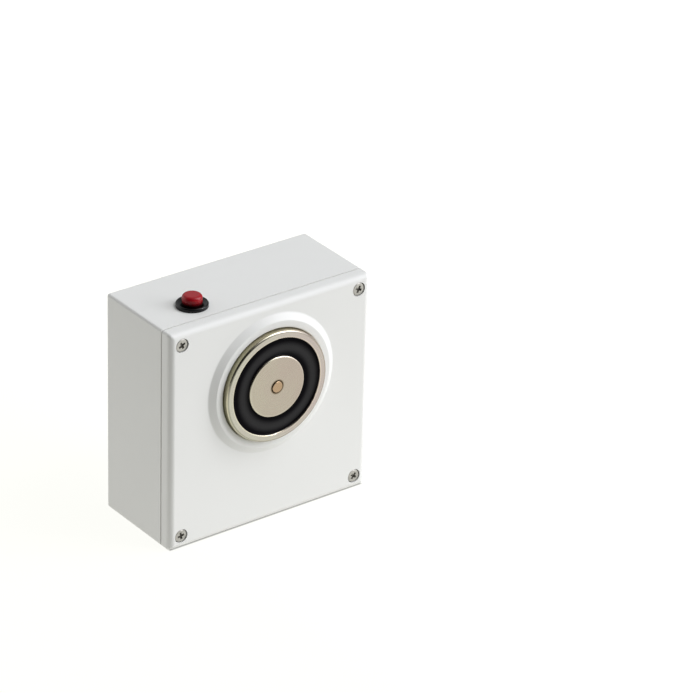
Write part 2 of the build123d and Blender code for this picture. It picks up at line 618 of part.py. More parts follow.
def terminal_insert(number):
    """A brass tube that joins the wires of one pole, tapped twice for its clamp screws."""
    x = pole_places()[number]
    tube = Cylinder(INSERT_RADIUS, INSERT_LENGTH) - Cylinder(INSERT_BORE, INSERT_LENGTH)
    tube = Pos(x, BLOCK_UP, WIRE_DEPTH) * Rot(90, 0, 0) * tube
    for place, y in clamp_places():
        if place == x:
            tube -= rod(CLAMP_SCREW_RADIUS + THREAD_CLEARANCE, WIRE_DEPTH, WIRE_DEPTH + INSERT_RADIUS, x, y)
    return stand_up(tube)


def clamp_screw(number):
    """A slotted screw that presses a wire into its insert."""
    x, y = clamp_places()[number]
    head_low = PLATE_FRONT + CLAMP_HEAD_RISE
    head_high = head_low + CLAMP_HEAD_HEIGHT
    screw = rod(CLAMP_SCREW_RADIUS, WIRE_DEPTH + BARE_RADIUS, head_low, x, y)
    screw += rod(CLAMP_HEAD_RADIUS, head_low, head_high, x, y)
    slot_low = head_high - CLAMP_HEAD_HEIGHT / 2
    screw -= bar(2 * CLAMP_HEAD_RADIUS, CLAMP_SLOT, slot_low, head_high, x, y)
    return stand_up(screw)


def block_screw():
    """The screw that holds the terminal block to the back plate."""
    seat = PLATE_FRONT + BLOCK_BASE
    length = seat - BACK_WALL
    screw = cross_head_screw(BLOCK_SCREW_HEAD_RADIUS, BLOCK_SCREW_HEAD_HEIGHT, BLOCK_SCREW_RADIUS, length)
    return stand_up(Pos(BLOCK_ACROSS, BLOCK_UP, seat) * screw)


def suppression_diode():
    """The diode that takes the coil's surge, with its legs bent up into both inserts."""
    left, right = pole_places()
    level = BLOCK_UP - BLOCK_LENGTH / 2 - DIODE_DROP
    top = BLOCK_UP - CLAMP_SPREAD / 2 + CLAMP_SCREW_RADIUS
    points = [(left, top), (left, level), (right, level), (right, top)]
    path = FilletPolyline(*[(x, -WIRE_DEPTH, z) for x, z in points], radius=DIODE_BEND)
    section = Plane(origin=path @ 0, z_dir=path % 0) * Circle(DIODE_LEG_RADIUS)
    legs = sweep(section, path=path)
    body = Rot(0, 90, 0) * Cylinder(DIODE_RADIUS, DIODE_LENGTH)
    return legs + Pos((left + right) / 2, -WIRE_DEPTH, level) * body


def button_housing():
    """The black bush of the button: a dished bezel above the case, and a bored stem that hangs inside it."""
    housing = rod(BEZEL_RADIUS, 0, BEZEL_HEIGHT)
    housing = fillet(housing.edges().sort_by(Axis.Z)[-1], BEZEL_ROUND)
    housing += rod(BUSH_RADIUS, BUSH_END, 0)
    bore = CAP_RADIUS + CAP_SLIP
    dish = Cone(bore, BEZEL_RADIUS - BEZEL_RIM, DISH_DEPTH, align=STANDING)
    housing -= Pos(0, 0, BEZEL_HEIGHT - DISH_DEPTH) * dish
    housing -= rod(bore, -CAP_FOOT - PRESS_TRAVEL - PRESS_SPARE, BEZEL_HEIGHT)
    housing -= rod(STEM_RADIUS + CAP_SLIP, SHOULDER_LEVEL, 0)
    housing -= rod(CHAMBER_RADIUS, BUSH_END, SHOULDER_LEVEL)
    return housing


def button_cap():
    """The red cap: its hollow stem ends in sprung lugs under the bush's shoulder, round a central foot."""
    cap = rod(CAP_RADIUS, -CAP_FOOT, CAP_PROUD)
    cap = fillet(cap.edges().sort_by(Axis.Z)[-1], CAP_ROUND)
    cap += rod(STEM_RADIUS, SNAP_END, -CAP_FOOT)
    cap += rod(SNAP_RADIUS, SNAP_END, SNAP_TOP)
    hollow_top = CAP_PROUD - CAP_CROWN
    hollow = rod(STEM_RADIUS - STEM_WALL, SNAP_END, hollow_top)
    hollow -= rod(STEM_FOOT_RADIUS, SNAP_END, hollow_top)
    cap -= hollow
    slot = bar(3 * SNAP_RADIUS, SNAP_SLOT, SNAP_END, SHOULDER_LEVEL + SNAP_HEIGHT)
    core = rod(STEM_FOOT_RADIUS, SNAP_END, SHOULDER_LEVEL + SNAP_HEIGHT)
    cap -= slot - core
    cap -= Rot(0, 0, 90) * slot - core
    cap += rod(STEM_FOOT_RADIUS, CONTACT_TOP, SNAP_END)
    return cap + rod(SPIGOT_RADIUS, CONTACT_UNDERSIDE, CONTACT_TOP)


def contact_disc():
    """The disc that bridges the two blades until the cap pushes it away from them."""
    disc = rod(CONTACT_RADIUS, CONTACT_UNDERSIDE, CONTACT_TOP)
    return disc - rod(SPIGOT_RADIUS + SPIGOT_CLEARANCE, CONTACT_UNDERSIDE, CONTACT_TOP)


def button_spring():
    """The spring that holds the disc up against the blades, and the cap with it."""
    spring = coil_spring(BUTTON_SPRING_RADIUS, BUTTON_SPRING_WIRE, BUTTON_SPRING_LENGTH, BUTTON_SPRING_TURNS)
    return Pos(0, 0, BASE_TOP) * spring


def button_base():
    """The plug that closes the bush from below, slotted for both blades, with a boss for the spring."""
    base = rod(CHAMBER_RADIUS - SLIDE_CLEARANCE, BUSH_END, BASE_TOP)
    base += rod(BUSH_RADIUS, BASE_END, BUSH_END)
    base += rod(BASE_BOSS_RADIUS, BASE_TOP, BASE_TOP + BASE_BOSS_HEIGHT)
    for side in (-1, 1):
        width, thick = BLADE_WIDTH + 2 * BLADE_SLIP, BLADE_THICK + 2 * BLADE_SLIP
        base -= bar(width, thick, BASE_END, BASE_TOP, 0, side * BLADE_OFFSET)
    return base


def contact_blade(side):
    """A bent brass blade: its tip reaches over the disc and its end takes a lead."""
    blade = bar(BLADE_WIDTH, BLADE_THICK, BLADE_END, TIP_TOP, 0, BLADE_OFFSET)
    outer_face = BLADE_OFFSET + BLADE_THICK / 2
    reach = outer_face - TIP_REACH
    blade += bar(BLADE_WIDTH, reach, TIP_UNDERSIDE, TIP_TOP, 0, outer_face - reach / 2)
    hole = Pos(0, BLADE_OFFSET, BLADE_END + 2 * BLADE_HOLE_RADIUS) * Rot(90, 0, 0)
    blade -= hole * Cylinder(BLADE_HOLE_RADIUS, 2 * BLADE_THICK)
    return blade if side > 0 else Rot(0, 0, 180) * blade


def tooth_washer():
    """A toothed washer between the nut and the inside of the top wall."""
    washer = rod(TOOTH_WASHER_RADIUS, -SIDE_WALL - TOOTH_WASHER_THICK, -SIDE_WALL)
    washer -= rod(NUT_BORE, -SIDE_WALL - TOOTH_WASHER_THICK, -SIDE_WALL)
    notch = bar(1, 1, -SIDE_WALL - TOOTH_WASHER_THICK, -SIDE_WALL, TOOTH_WASHER_RADIUS, 0)
    return washer - [Rot(0, 0, 360 * n / TOOTH_COUNT) * notch for n in range(TOOTH_COUNT)]


def button_nut():
    """The thin hexagon nut that clamps the bush to the top wall."""
    top = -SIDE_WALL - TOOTH_WASHER_THICK
    nut = extrude(RegularPolygon(NUT_FLATS / 2, 6, major_radius=False), amount=-NUT_THICK)
    return Pos(0, 0, top) * nut - rod(NUT_BORE, top - NUT_THICK, top)


def place_button(piece):
    """Sets a piece of the button over its hole in the top of the case."""
    return Pos(BUTTON_ACROSS, -BUTTON_DEPTH, CASE_HEIGHT / 2) * piece


def lead(name, points, bare_start, bare_end):
    """An insulated wire along straight runs joined by wide arcs, with a bare end where one is wanted."""
    spots = [Vector(*point) for point in points]
    radii = []
    for before, corner, after in zip(spots, spots[1:], spots[2:]):
        arriving, leaving = corner - before, after - corner
        half_turn = radians(arriving.get_angle(leaving) / 2)
        radii.append(ARC_SHARE * min(arriving.length, leaving.length) / tan(half_turn))
    print(name, "arc radii", [round(radius, 1) for radius in radii])
    path = FilletPolyline(*points, radius=radii)
    section = Plane(origin=path @ 0, z_dir=path % 0) * Circle(LEAD_RADIUS)
    wire = sweep(section, path=path)
    for bare, origin, direction in ((bare_start, path @ 0, -(path % 0)), (bare_end, path @ 1, path % 1)):
        if bare:
            core = Plane(origin=origin, z_dir=direction) * Circle(BARE_RADIUS)
            wire += extrude(core, amount=BARE_LENGTH)
    return wire


def blade_end(side, drop=0.0):
    """Where a lead's insulation ends below a blade, or a drop under it: 1 is the blade nearer the wall."""
    offset = BLADE_OFFSET + BLADE_THICK / 2 + BARE_RADIUS
    level = CASE_HEIGHT / 2 + BLADE_END - LEAD_STANDOFF - drop
    return BUTTON_ACROSS, -BUTTON_DEPTH + side * offset, level


def insert_end(number):
    """Where a lead's insulation ends above an insert of the terminal block."""
    return pole_places()[number], -WIRE_DEPTH, BLOCK_UP + BLOCK_LENGTH / 2 + LEAD_STANDOFF


def coil_end(side):
    """Where a lead starts against the spool, inside the magnet."""
    x, z = coil_exit(side)
    return x, -(WINDOW_FLOOR - REST_CLEARANCE), z


def bends(places):
    """Where a lead bends: across from the button's axis, then y and z."""
    return [(BUTTON_ACROSS + x, y, z) for x, y, z in places]


def feed_lead():
    """From the left insert up to the blade nearer the wall."""
    x, y, z = insert_end(0)
    rise = (x, y, z + INSERT_RUN)
    points = [(x, y, z), rise, *bends(FEED_BENDS), blade_end(1, LEAD_DROP), blade_end(1)]
    return lead("feed_lead", points, True, True)


def switched_lead():
    """From the blade nearer the door down behind the magnet to the coil."""
    x, y, z = coil_end(-1)
    points = [blade_end(-1), blade_end(-1, LEAD_DROP), *bends(SWITCHED_BENDS)]
    return lead("switched_lead", [*points, (x, y + COIL_RUN, z), (x, y, z)], True, False)


def return_lead():
    """From the coil to the right insert."""
    x, y, z = coil_end(1)
    points = [(x, y, z), (x, y + COIL_RUN, z), *bends(RETURN_BENDS), insert_end(1)]
    return lead("return_lead", points, False, True)


def main():
    """Writes each piece to its own file."""
    pieces = {
        "rear_box": rear_box(),
        "front_cover": front_cover(),
        "back_plate": back_plate(),
        "magnet_bracket": magnet_bracket(),
        "magnet_bolt": magnet_bolt(),
        "lock_washer": lock_washer(),
        "magnet_pot": magnet_pot(),
        "coil_bobbin": coil_bobbin(),
        "coil_winding": coil_winding(),
        "resin_ring": resin_ring(),
        "ejector_pin": ejector_pin(),
        "ejector_spring": ejector_spring(),
        "cable_grommet": cable_grommet(),
        "terminal_block": terminal_block(),
        "block_screw": block_screw(),
        "suppression_diode": suppression_diode(),
        "button_housing": place_button(button_housing()),
        "button_cap": place_button(button_cap()),
        "contact_disc": place_button(contact_disc()),
        "button_spring": place_button(button_spring()),
        "button_base": place_button(button_base()),
        "wall_side_blade": place_button(contact_blade(1)),
        "door_side_blade": place_button(contact_blade(-1)),
        "tooth_washer": place_button(tooth_washer()),
        "button_nut": place_button(button_nut()),
        "feed_lead": feed_lead(),
        "switched_lead": switched_lead(),
        "return_lead": return_lead(),
    }
    for number in range(4):
        pieces[f"cover_screw_{number + 1}"] = cover_screw(number)
        pieces[f"bracket_screw_{number + 1}"] = bracket_screw(number)
        pieces[f"clamp_screw_{number + 1}"] = clamp_screw(number)
    for number in range(2):
        pieces[f"terminal_insert_{number + 1}"] = terminal_insert(number)
    os.makedirs("parts", exist_ok=True)
    for name, piece in pieces.items():
        export_step(piece, f"parts/{name}.step")


main()
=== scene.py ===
"""Looks for a magnetic door holder: a white wall box, a round electromagnet and a red button."""

import logging
import math
from abc import ABC, abstractmethod
from dataclasses import dataclass
from enum import Enum
from typing import Protocol

import bpy
import numpy as np
from mathutils import Matrix, Vector


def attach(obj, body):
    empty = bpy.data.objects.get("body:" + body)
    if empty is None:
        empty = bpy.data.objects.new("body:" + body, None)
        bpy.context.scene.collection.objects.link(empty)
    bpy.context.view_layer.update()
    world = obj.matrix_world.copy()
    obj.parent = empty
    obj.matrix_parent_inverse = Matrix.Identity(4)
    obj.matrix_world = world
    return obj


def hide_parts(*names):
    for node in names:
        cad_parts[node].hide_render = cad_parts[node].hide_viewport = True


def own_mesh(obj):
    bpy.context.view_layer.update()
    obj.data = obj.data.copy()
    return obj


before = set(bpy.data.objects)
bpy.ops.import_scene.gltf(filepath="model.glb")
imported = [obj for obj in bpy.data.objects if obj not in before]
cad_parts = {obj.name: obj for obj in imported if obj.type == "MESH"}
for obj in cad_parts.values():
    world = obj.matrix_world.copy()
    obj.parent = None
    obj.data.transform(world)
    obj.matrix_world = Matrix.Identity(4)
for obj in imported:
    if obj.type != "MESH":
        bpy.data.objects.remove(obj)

MM = 0.001
FAR = 90.0  # mm, a height or width that lies past the whole case
NOISE_SPAN = (0.3, 0.7)  # most of a noise's output lies between these
LOG = logging.getLogger("door_holder")


class Place(Enum):
    """Where the axis of a mould or a lathe lies: a point on it and the way it points, in metres."""

    MAGNET = ((0.0, 0.0, 15.5 * MM), (0.0, -1.0, 0.0))
    BUTTON = ((-30.1 * MM, -30.8 * MM, 0.0), (0.0, 0.0, 1.0))

    @property
    def point(self) -> Vector:
        """A point on the axis."""
        return Vector(self.value[0])

    @property
    def direction(self) -> Vector:
        """The way the axis points."""
        return Vector(self.value[1])


# Colour and node helpers


def linear(code: str) -> tuple[float, float, float, float]:
    """Turns an sRGB hex colour into the linear values that shaders take.

    Args:
        code: a # and six hex digits.

    Returns:
        Red, green and blue from 0 to 1 in linear light, and an alpha of 1.
    """
    channels = [int(code[i : i + 2], 16) / 255 for i in (1, 3, 5)]
    red, green, blue = (
        c / 12.92 if c <= 0.04045 else ((c + 0.055) / 1.055) ** 2.4 for c in channels
    )
    return red, green, blue, 1.0


def add(
    tree: bpy.types.NodeTree,
    kind: str,
    inputs: dict[str | int, object] | None = None,
    **settings: object,
) -> bpy.types.Node:
    """Adds one node with its settings and links.

    Args:
        tree: the node tree of a material or world.
        kind: the node's type, without its leading ShaderNode.
        inputs: socket names or numbers, each with a value or with the output that feeds it.
        settings: the node's own properties.

    Returns:
        The new node.
    """
    node = tree.nodes.new("ShaderNode" + kind)
    for name, value in settings.items():
        setattr(node, name, value)
    for name, value in (inputs or {}).items():
        if isinstance(value, bpy.types.NodeSocket):
            tree.links.new(value, node.inputs[name])
        else:
            node.inputs[name].default_value = value
    return node


def blank_material(name: str) -> tuple[bpy.types.Material, bpy.types.NodeTree]:
    """Makes a material whose node tree is empty.

    Args:
        name: the material's name.

    Returns:
        The material and its node tree.
    """
    material = bpy.data.materials.new(name)
    material.use_nodes = True
    material.node_tree.nodes.clear()
    return material, material.node_tree


def per_metre(pitch_mm: float) -> float:
    """The scale that sets a noise's features about pitch_mm apart on coordinates in metres."""
    return 1.0 / (pitch_mm * MM)


# Kinds of finish


class Finish(Protocol):
    """What every finish can do."""

    name: str

    def build(self) -> bpy.types.Material:
        """Makes the material."""


@dataclass(frozen=True)
class MouldedPlastic:
    """An injection-moulded plastic, such as ABS or nylon.

    The mould's spark-eroded texture gives a fine even grain, the shot gives broad faint clouds in
    the colour, and handling gives slightly smoother patches.
    """

    name: str
    colour: str
    cloud: str
    roughness: float
    grain_mm: float = 0.45  # the real grain is near 0.05 mm and would not show, so it is coarser
    grain_depth_mm: float = 0.004
    grain_strength: float = 0.35
    cloud_mm: float = 38.0
    touch_mm: float = 9.0
    touch_swing: float = 0.05
    ior: float = 1.53
    specular: float = 0.5
    # painted shade at the foot of the piece: its dark colour and the two heights of its fade
    foot_shade: str | None = None
    foot_shade_mm: tuple[float, float] = (0.0, 0.0)

    def build(self) -> bpy.types.Material:
        """Makes the material.

        Where the piece has painted shade at its foot, that dark colour fills the foot of the piece
        and fades out between two given heights.

        Returns:
            The material.
        """
        material, tree = blank_material(self.name)
        where = add(tree, "TexCoord").outputs["Object"]
        clouds = add(
            tree, "TexNoise", {"Vector": where, "Scale": per_metre(self.cloud_mm), "Detail": 3.0}
        )
        tone = add(
            tree,
            "Mix",
            {"Factor": clouds.outputs["Fac"], "A": linear(self.colour), "B": linear(self.cloud)},
            data_type="RGBA",
        )
        # Painted shade: a dark colour at the foot, fading out upwards
        if self.foot_shade:
            low, high = (value * MM for value in self.foot_shade_mm)
            height = add(tree, "SeparateXYZ", {0: where}).outputs[2]
            unshaded = add(
                tree, "MapRange", {0: height, 1: low, 2: high}, interpolation_type="SMOOTHSTEP"
            )
            tone = add(
                tree,
                "Mix",
                {"Factor": unshaded.outputs[0], "A": linear(self.foot_shade), "B": tone.outputs["Result"]},
                data_type="RGBA",
            )
        touched = add(
            tree, "TexNoise", {"Vector": where, "Scale": per_metre(self.touch_mm), "Detail": 4.0}
        )
        gloss = add(
            tree,
            "MapRange",
            {
                0: touched.outputs["Fac"],
                1: NOISE_SPAN[0],
                2: NOISE_SPAN[1],
                3: self.roughness - self.touch_swing,
                4: self.roughness + self.touch_swing,
            },
        )
        grain = add(
            tree, "TexNoise", {"Vector": where, "Scale": per_metre(self.grain_mm), "Detail": 2.0}
        )
        bump = add(
            tree,
            "Bump",
            {
                "Height": grain.outputs["Fac"],
                "Strength": self.grain_strength,
                "Distance": self.grain_depth_mm * MM,
            },
        )
        shader = add(
            tree,
            "BsdfPrincipled",
            {
                "Base Color": tone.outputs["Result"],
                "Roughness": gloss.outputs["Result"],
                "Normal": bump.outputs["Normal"],
                "IOR": self.ior,
                "Specular IOR Level": self.specular,
            },
        )
        add(tree, "OutputMaterial", {"Surface": shader.outputs["BSDF"]})
        return material


@dataclass(frozen=True)
class TurnedMetal:
    """A metal face turned on a lathe and then plated or lacquered.

    The tool leaves rings round the axis, fine and even. The plating softens them and drifts a
    little in tone.
    """

    name: str
    colour: str
    drift: str
    roughness: float
    place: Place
    ring_mm: float = 0.35  # the real feed is about 0.1 mm, drawn coarser so that it shows
    ring_depth_mm: float = 0.004
    ring_strength: float = 0.3
    ring_span: tuple[float, float] = (0.25, 0.75)
    ring_swing: float = 0.06
    drift_mm: float = 14.0
    bands: tuple[tuple[float, str], ...] = ()
    left_sheen: float = 0.0
    reach_mm: float = 28.0

    def build(self) -> bpy.types.Material:
        """Makes the material.

        The rings are a noise of the distance from the axis plus the height along it. The drift is
        a noise plus a painted sheen, which favours its second tone on the left of the axis. The
        bands, which tint the drift, are a ramp of colours over the distance: each has its distance
        in mm, and they blend between.

        Returns:
            The material.
        """
        material, tree = blank_material(self.name)
        where = add(tree, "TexCoord").outputs["Object"]
        moved = add(
            tree, "VectorMath", {0: where, 1: self.place.point}, operation="SUBTRACT"
        ).outputs[0]
        axis = self.place.direction
        mask = Vector((1 - abs(axis.x), 1 - abs(axis.y), 1 - abs(axis.z)))
        flat = add(tree, "VectorMath", {0: moved, 1: mask}, operation="MULTIPLY").outputs[0]
        radius = add(tree, "VectorMath", {0: flat}, operation="LENGTH").outputs["Value"]
        height = add(tree, "VectorMath", {0: moved, 1: axis}, operation="DOT_PRODUCT")
        along = add(tree, "Math", {0: radius, 1: height.outputs["Value"]}, operation="ADD")
        rings = add(
            tree,
            "TexNoise",
            {
                "W": along.outputs[0],
                "Scale": per_metre(self.ring_mm),
                "Detail": 3.0,
                "Roughness": 0.7,
            },
            noise_dimensions="1D",
        )
        drift = add(
            tree, "TexNoise", {"Vector": where, "Scale": per_metre(self.drift_mm), "Detail": 4.0}
        )
        # Painted sheen: the second tone is favoured on the left of the axis
        side = add(tree, "SeparateXYZ", {0: moved}).outputs[0]
        reach = self.reach_mm * MM
        left_sheen = add(
            tree, "MapRange", {0: side, 1: -reach, 2: reach, 3: self.left_sheen / 2, 4: -self.left_sheen / 2}
        )
        share = add(
            tree,
            "Math",
            {0: drift.outputs["Fac"], 1: left_sheen.outputs[0]},
            operation="ADD",
            use_clamp=True,
        )
        tone = add(
            tree,
            "Mix",
            {"Factor": share.outputs[0], "A": linear(self.colour), "B": linear(self.drift)},
            data_type="RGBA",
        )
        if self.bands:
            outwards = add(tree, "Math", {0: radius, 1: reach}, operation="DIVIDE").outputs[0]
            ramp = add(tree, "ValToRGB", {"Fac": outwards})
            stops = ramp.color_ramp.elements
            stops.remove(stops[1])
            stops[0].position, stops[0].color = 0.0, linear(self.bands[0][1])
            for distance_mm, code in self.bands:
                stops.new(distance_mm / self.reach_mm).color = linear(code)
            tone = add(
                tree,
                "Mix",
                {"Factor": 1.0, "A": tone.outputs["Result"], "B": ramp.outputs["Color"]},
                data_type="RGBA",
                blend_type="MULTIPLY",
            )
        gloss = add(
            tree,
            "MapRange",
            {
                0: rings.outputs["Fac"],
                1: self.ring_span[0],
                2: self.ring_span[1],
                3: self.roughness - self.ring_swing,
                4: self.roughness + self.ring_swing,
            },
        )
        bump = add(
            tree,
            "Bump",
            {
                "Height": rings.outputs["Fac"],
                "Strength": self.ring_strength,
                "Distance": self.ring_depth_mm * MM,
            },
        )
        shader = add(
            tree,
            "BsdfPrincipled",
            {
                "Base Color": tone.outputs["Result"],
                "Roughness": gloss.outputs["Result"],
                "Normal": bump.outputs["Normal"],
                "Metallic": 1.0,
            },
        )
        add(tree, "OutputMaterial", {"Surface": shader.outputs["BSDF"]})
        return material


@dataclass(frozen=True)
class CoatedMetal:
    """Rolled, drawn or headed metal with a thin coat, such as zinc or enamel.

    The coat grows in flat crystals or lies in patches, a millimetre or a few across, which differ
    a little in tone and gloss.
    """

    name: str
    colour: str
    patch: str
    roughness: float
    patch_mm: float = 2.5
    patch_swing: float = 0.05
    scuff_mm: float = 0.5
    scuff_depth_mm: float = 0.005
    scuff_strength: float = 0.2

    def build(self) -> bpy.types.Material:
        """Makes the material. Each crystal is a cell of a Voronoi pattern with its own tone.

        Returns:
            The material.
        """
        material, tree = blank_material(self.name)
        where = add(tree, "TexCoord").outputs["Object"]
        cells = add(tree, "TexVoronoi", {"Vector": where, "Scale": per_metre(self.patch_mm)})
        one = add(tree, "SeparateColor", {"Color": cells.outputs["Color"]}).outputs[0]
        tone = add(
            tree,
            "Mix",
            {"Factor": one, "A": linear(self.colour), "B": linear(self.patch)},
            data_type="RGBA",
        )
        gloss = add(
            tree,
            "MapRange",
            {0: one, 3: self.roughness - self.patch_swing, 4: self.roughness + self.patch_swing},
        )
        scuffs = add(
            tree, "TexNoise", {"Vector": where, "Scale": per_metre(self.scuff_mm), "Detail": 5.0}
        )
        bump = add(
            tree,
            "Bump",
            {
                "Height": scuffs.outputs["Fac"],
                "Strength": self.scuff_strength,
                "Distance": self.scuff_depth_mm * MM,
            },
        )
        shader = add(
            tree,
            "BsdfPrincipled",
            {
                "Base Color": tone.outputs["Result"],
                "Roughness": gloss.outputs["Result"],
                "Normal": bump.outputs["Normal"],
                "Metallic": 1.0,
            },
        )
        add(tree, "OutputMaterial", {"Surface": shader.outputs["BSDF"]})
        return material


@dataclass(frozen=True)
class CastResin:
    """Black epoxy resin, poured and cured.

    Its coat is heavier and its tone lighter along a circle whose centre is shifted to the lower
    right: a painted sheen. Towards both walls its coat thins and its tone darkens: painted shade.
    """

    name: str
    colour: str
    painted_sheen: str
    roughness: float
    place: Place
    middle_mm: float = 19.4
    sheen_shift_mm: tuple[float, float] = (1.5, -1.2)
    level_mm: tuple[float, float] = (0.3, 3.7)
    coat: tuple[float, float] = (0.50, 0.02)
    dull_roughness: float = 0.6
    dull_specular: float = 0.02
    ior: float = 1.5
    bloom_mm: float = 5.0
    peel_mm: float = 3.5
    peel_depth_mm: float = 0.04
    peel_strength: float = 0.4

    def build(self) -> bpy.types.Material:
        """Makes the material.

        The gloss is a coat. Its weight falls smoothly from the first to the second value of coat,
        as the distance to the shifted circle grows between the two values of level_mm. The same
        mask,
        times a noise, mixes in the lighter tone: a painted sheen along the circle and painted shade
        towards both walls.

        Returns:
            The material.
        """
        material, tree = blank_material(self.name)
        where = add(tree, "TexCoord").outputs["Object"]
        # The painted sheen's circle is centred off the magnet's axis, to the lower right
        centre = self.place.point + Vector((self.sheen_shift_mm[0], 0.0, self.sheen_shift_mm[1])) * MM
        moved = add(tree, "VectorMath", {0: where, 1: centre}, operation="SUBTRACT").outputs[0]
        flat = add(
            tree, "VectorMath", {0: moved, 1: (1.0, 0.0, 1.0)}, operation="MULTIPLY"
        ).outputs[0]
        radius = add(tree, "VectorMath", {0: flat}, operation="LENGTH").outputs["Value"]
        offset = add(tree, "Math", {0: radius, 1: self.middle_mm * MM}, operation="SUBTRACT")
        apart = add(tree, "Math", {0: offset.outputs[0]}, operation="ABSOLUTE").outputs[0]
        near, far = (value * MM for value in self.level_mm)
        level = add(
            tree,
            "MapRange",
            {0: apart, 1: near, 2: far, 3: self.coat[0], 4: self.coat[1]},
            interpolation_type="SMOOTHSTEP",
        ).outputs[0]
        bloom = add(
            tree, "TexNoise", {"Vector": where, "Scale": per_metre(self.bloom_mm), "Detail": 4.0}
        )
        # Painted sheen and shade: the lighter tone follows the same mask as the coat
        painted_sheen = add(tree, "Math", {0: level, 1: bloom.outputs["Fac"]}, operation="MULTIPLY")
        tone = add(
            tree,
            "Mix",
            {"Factor": painted_sheen.outputs[0], "A": linear(self.colour), "B": linear(self.painted_sheen)},
            data_type="RGBA",
        )
        peel = add(
            tree, "TexNoise", {"Vector": where, "Scale": per_metre(self.peel_mm), "Detail": 1.0}
        )
        bump = add(
            tree,
            "Bump",
            {
                "Height": peel.outputs["Fac"],
                "Strength": self.peel_strength,
                "Distance": self.peel_depth_mm * MM,
            },
        )
        shader = add(
            tree,
            "BsdfPrincipled",
            {
                "Base Color": tone.outputs["Result"],
                "Roughness": self.dull_roughness,
                "Normal": bump.outputs["Normal"],
                "IOR": self.ior,
                "Specular IOR Level": self.dull_specular,
                "Coat Weight": level,
                "Coat Roughness": self.roughness,
                "Coat IOR": self.ior,
            },
        )
        add(tree, "OutputMaterial", {"Surface": shader.outputs["BSDF"]})
        return material


@dataclass(frozen=True)
class Rubber:
    """Compression-moulded black rubber: matt, with a dusty bloom and a fine pebble."""

    name: str
    colour: str
    bloom: str
    roughness: float = 0.78
    ior: float = 1.52
    specular: float = 0.35
    bloom_mm: float = 5.0
    pebble_mm: float = 0.4
    pebble_depth_mm: float = 0.02
    pebble_strength: float = 0.5

    def build(self) -> bpy.types.Material:
        """Makes the material. The bloom and the pebble are two noises.

        Returns:
            The material.
        """
        material, tree = blank_material(self.name)
        where = add(tree, "TexCoord").outputs["Object"]
        dust = add(
            tree, "TexNoise", {"Vector": where, "Scale": per_metre(self.bloom_mm), "Detail": 6.0}
        )
        tone = add(
            tree,
            "Mix",
            {"Factor": dust.outputs["Fac"], "A": linear(self.colour), "B": linear(self.bloom)},
            data_type="RGBA",
        )
        pebble = add(
            tree, "TexNoise", {"Vector": where, "Scale": per_metre(self.pebble_mm), "Detail": 2.0}
        )
        bump = add(
            tree,
            "Bump",
            {
                "Height": pebble.outputs["Fac"],
                "Strength": self.pebble_strength,
                "Distance": self.pebble_depth_mm * MM,
            },
        )
        shader = add(
            tree,
            "BsdfPrincipled",
            {
                "Base Color": tone.outputs["Result"],
                "Normal": bump.outputs["Normal"],
                "Roughness": self.roughness,
                "IOR": self.ior,
                "Specular IOR Level": self.specular,
            },
        )
        add(tree, "OutputMaterial", {"Surface": shader.outputs["BSDF"]})
        return material


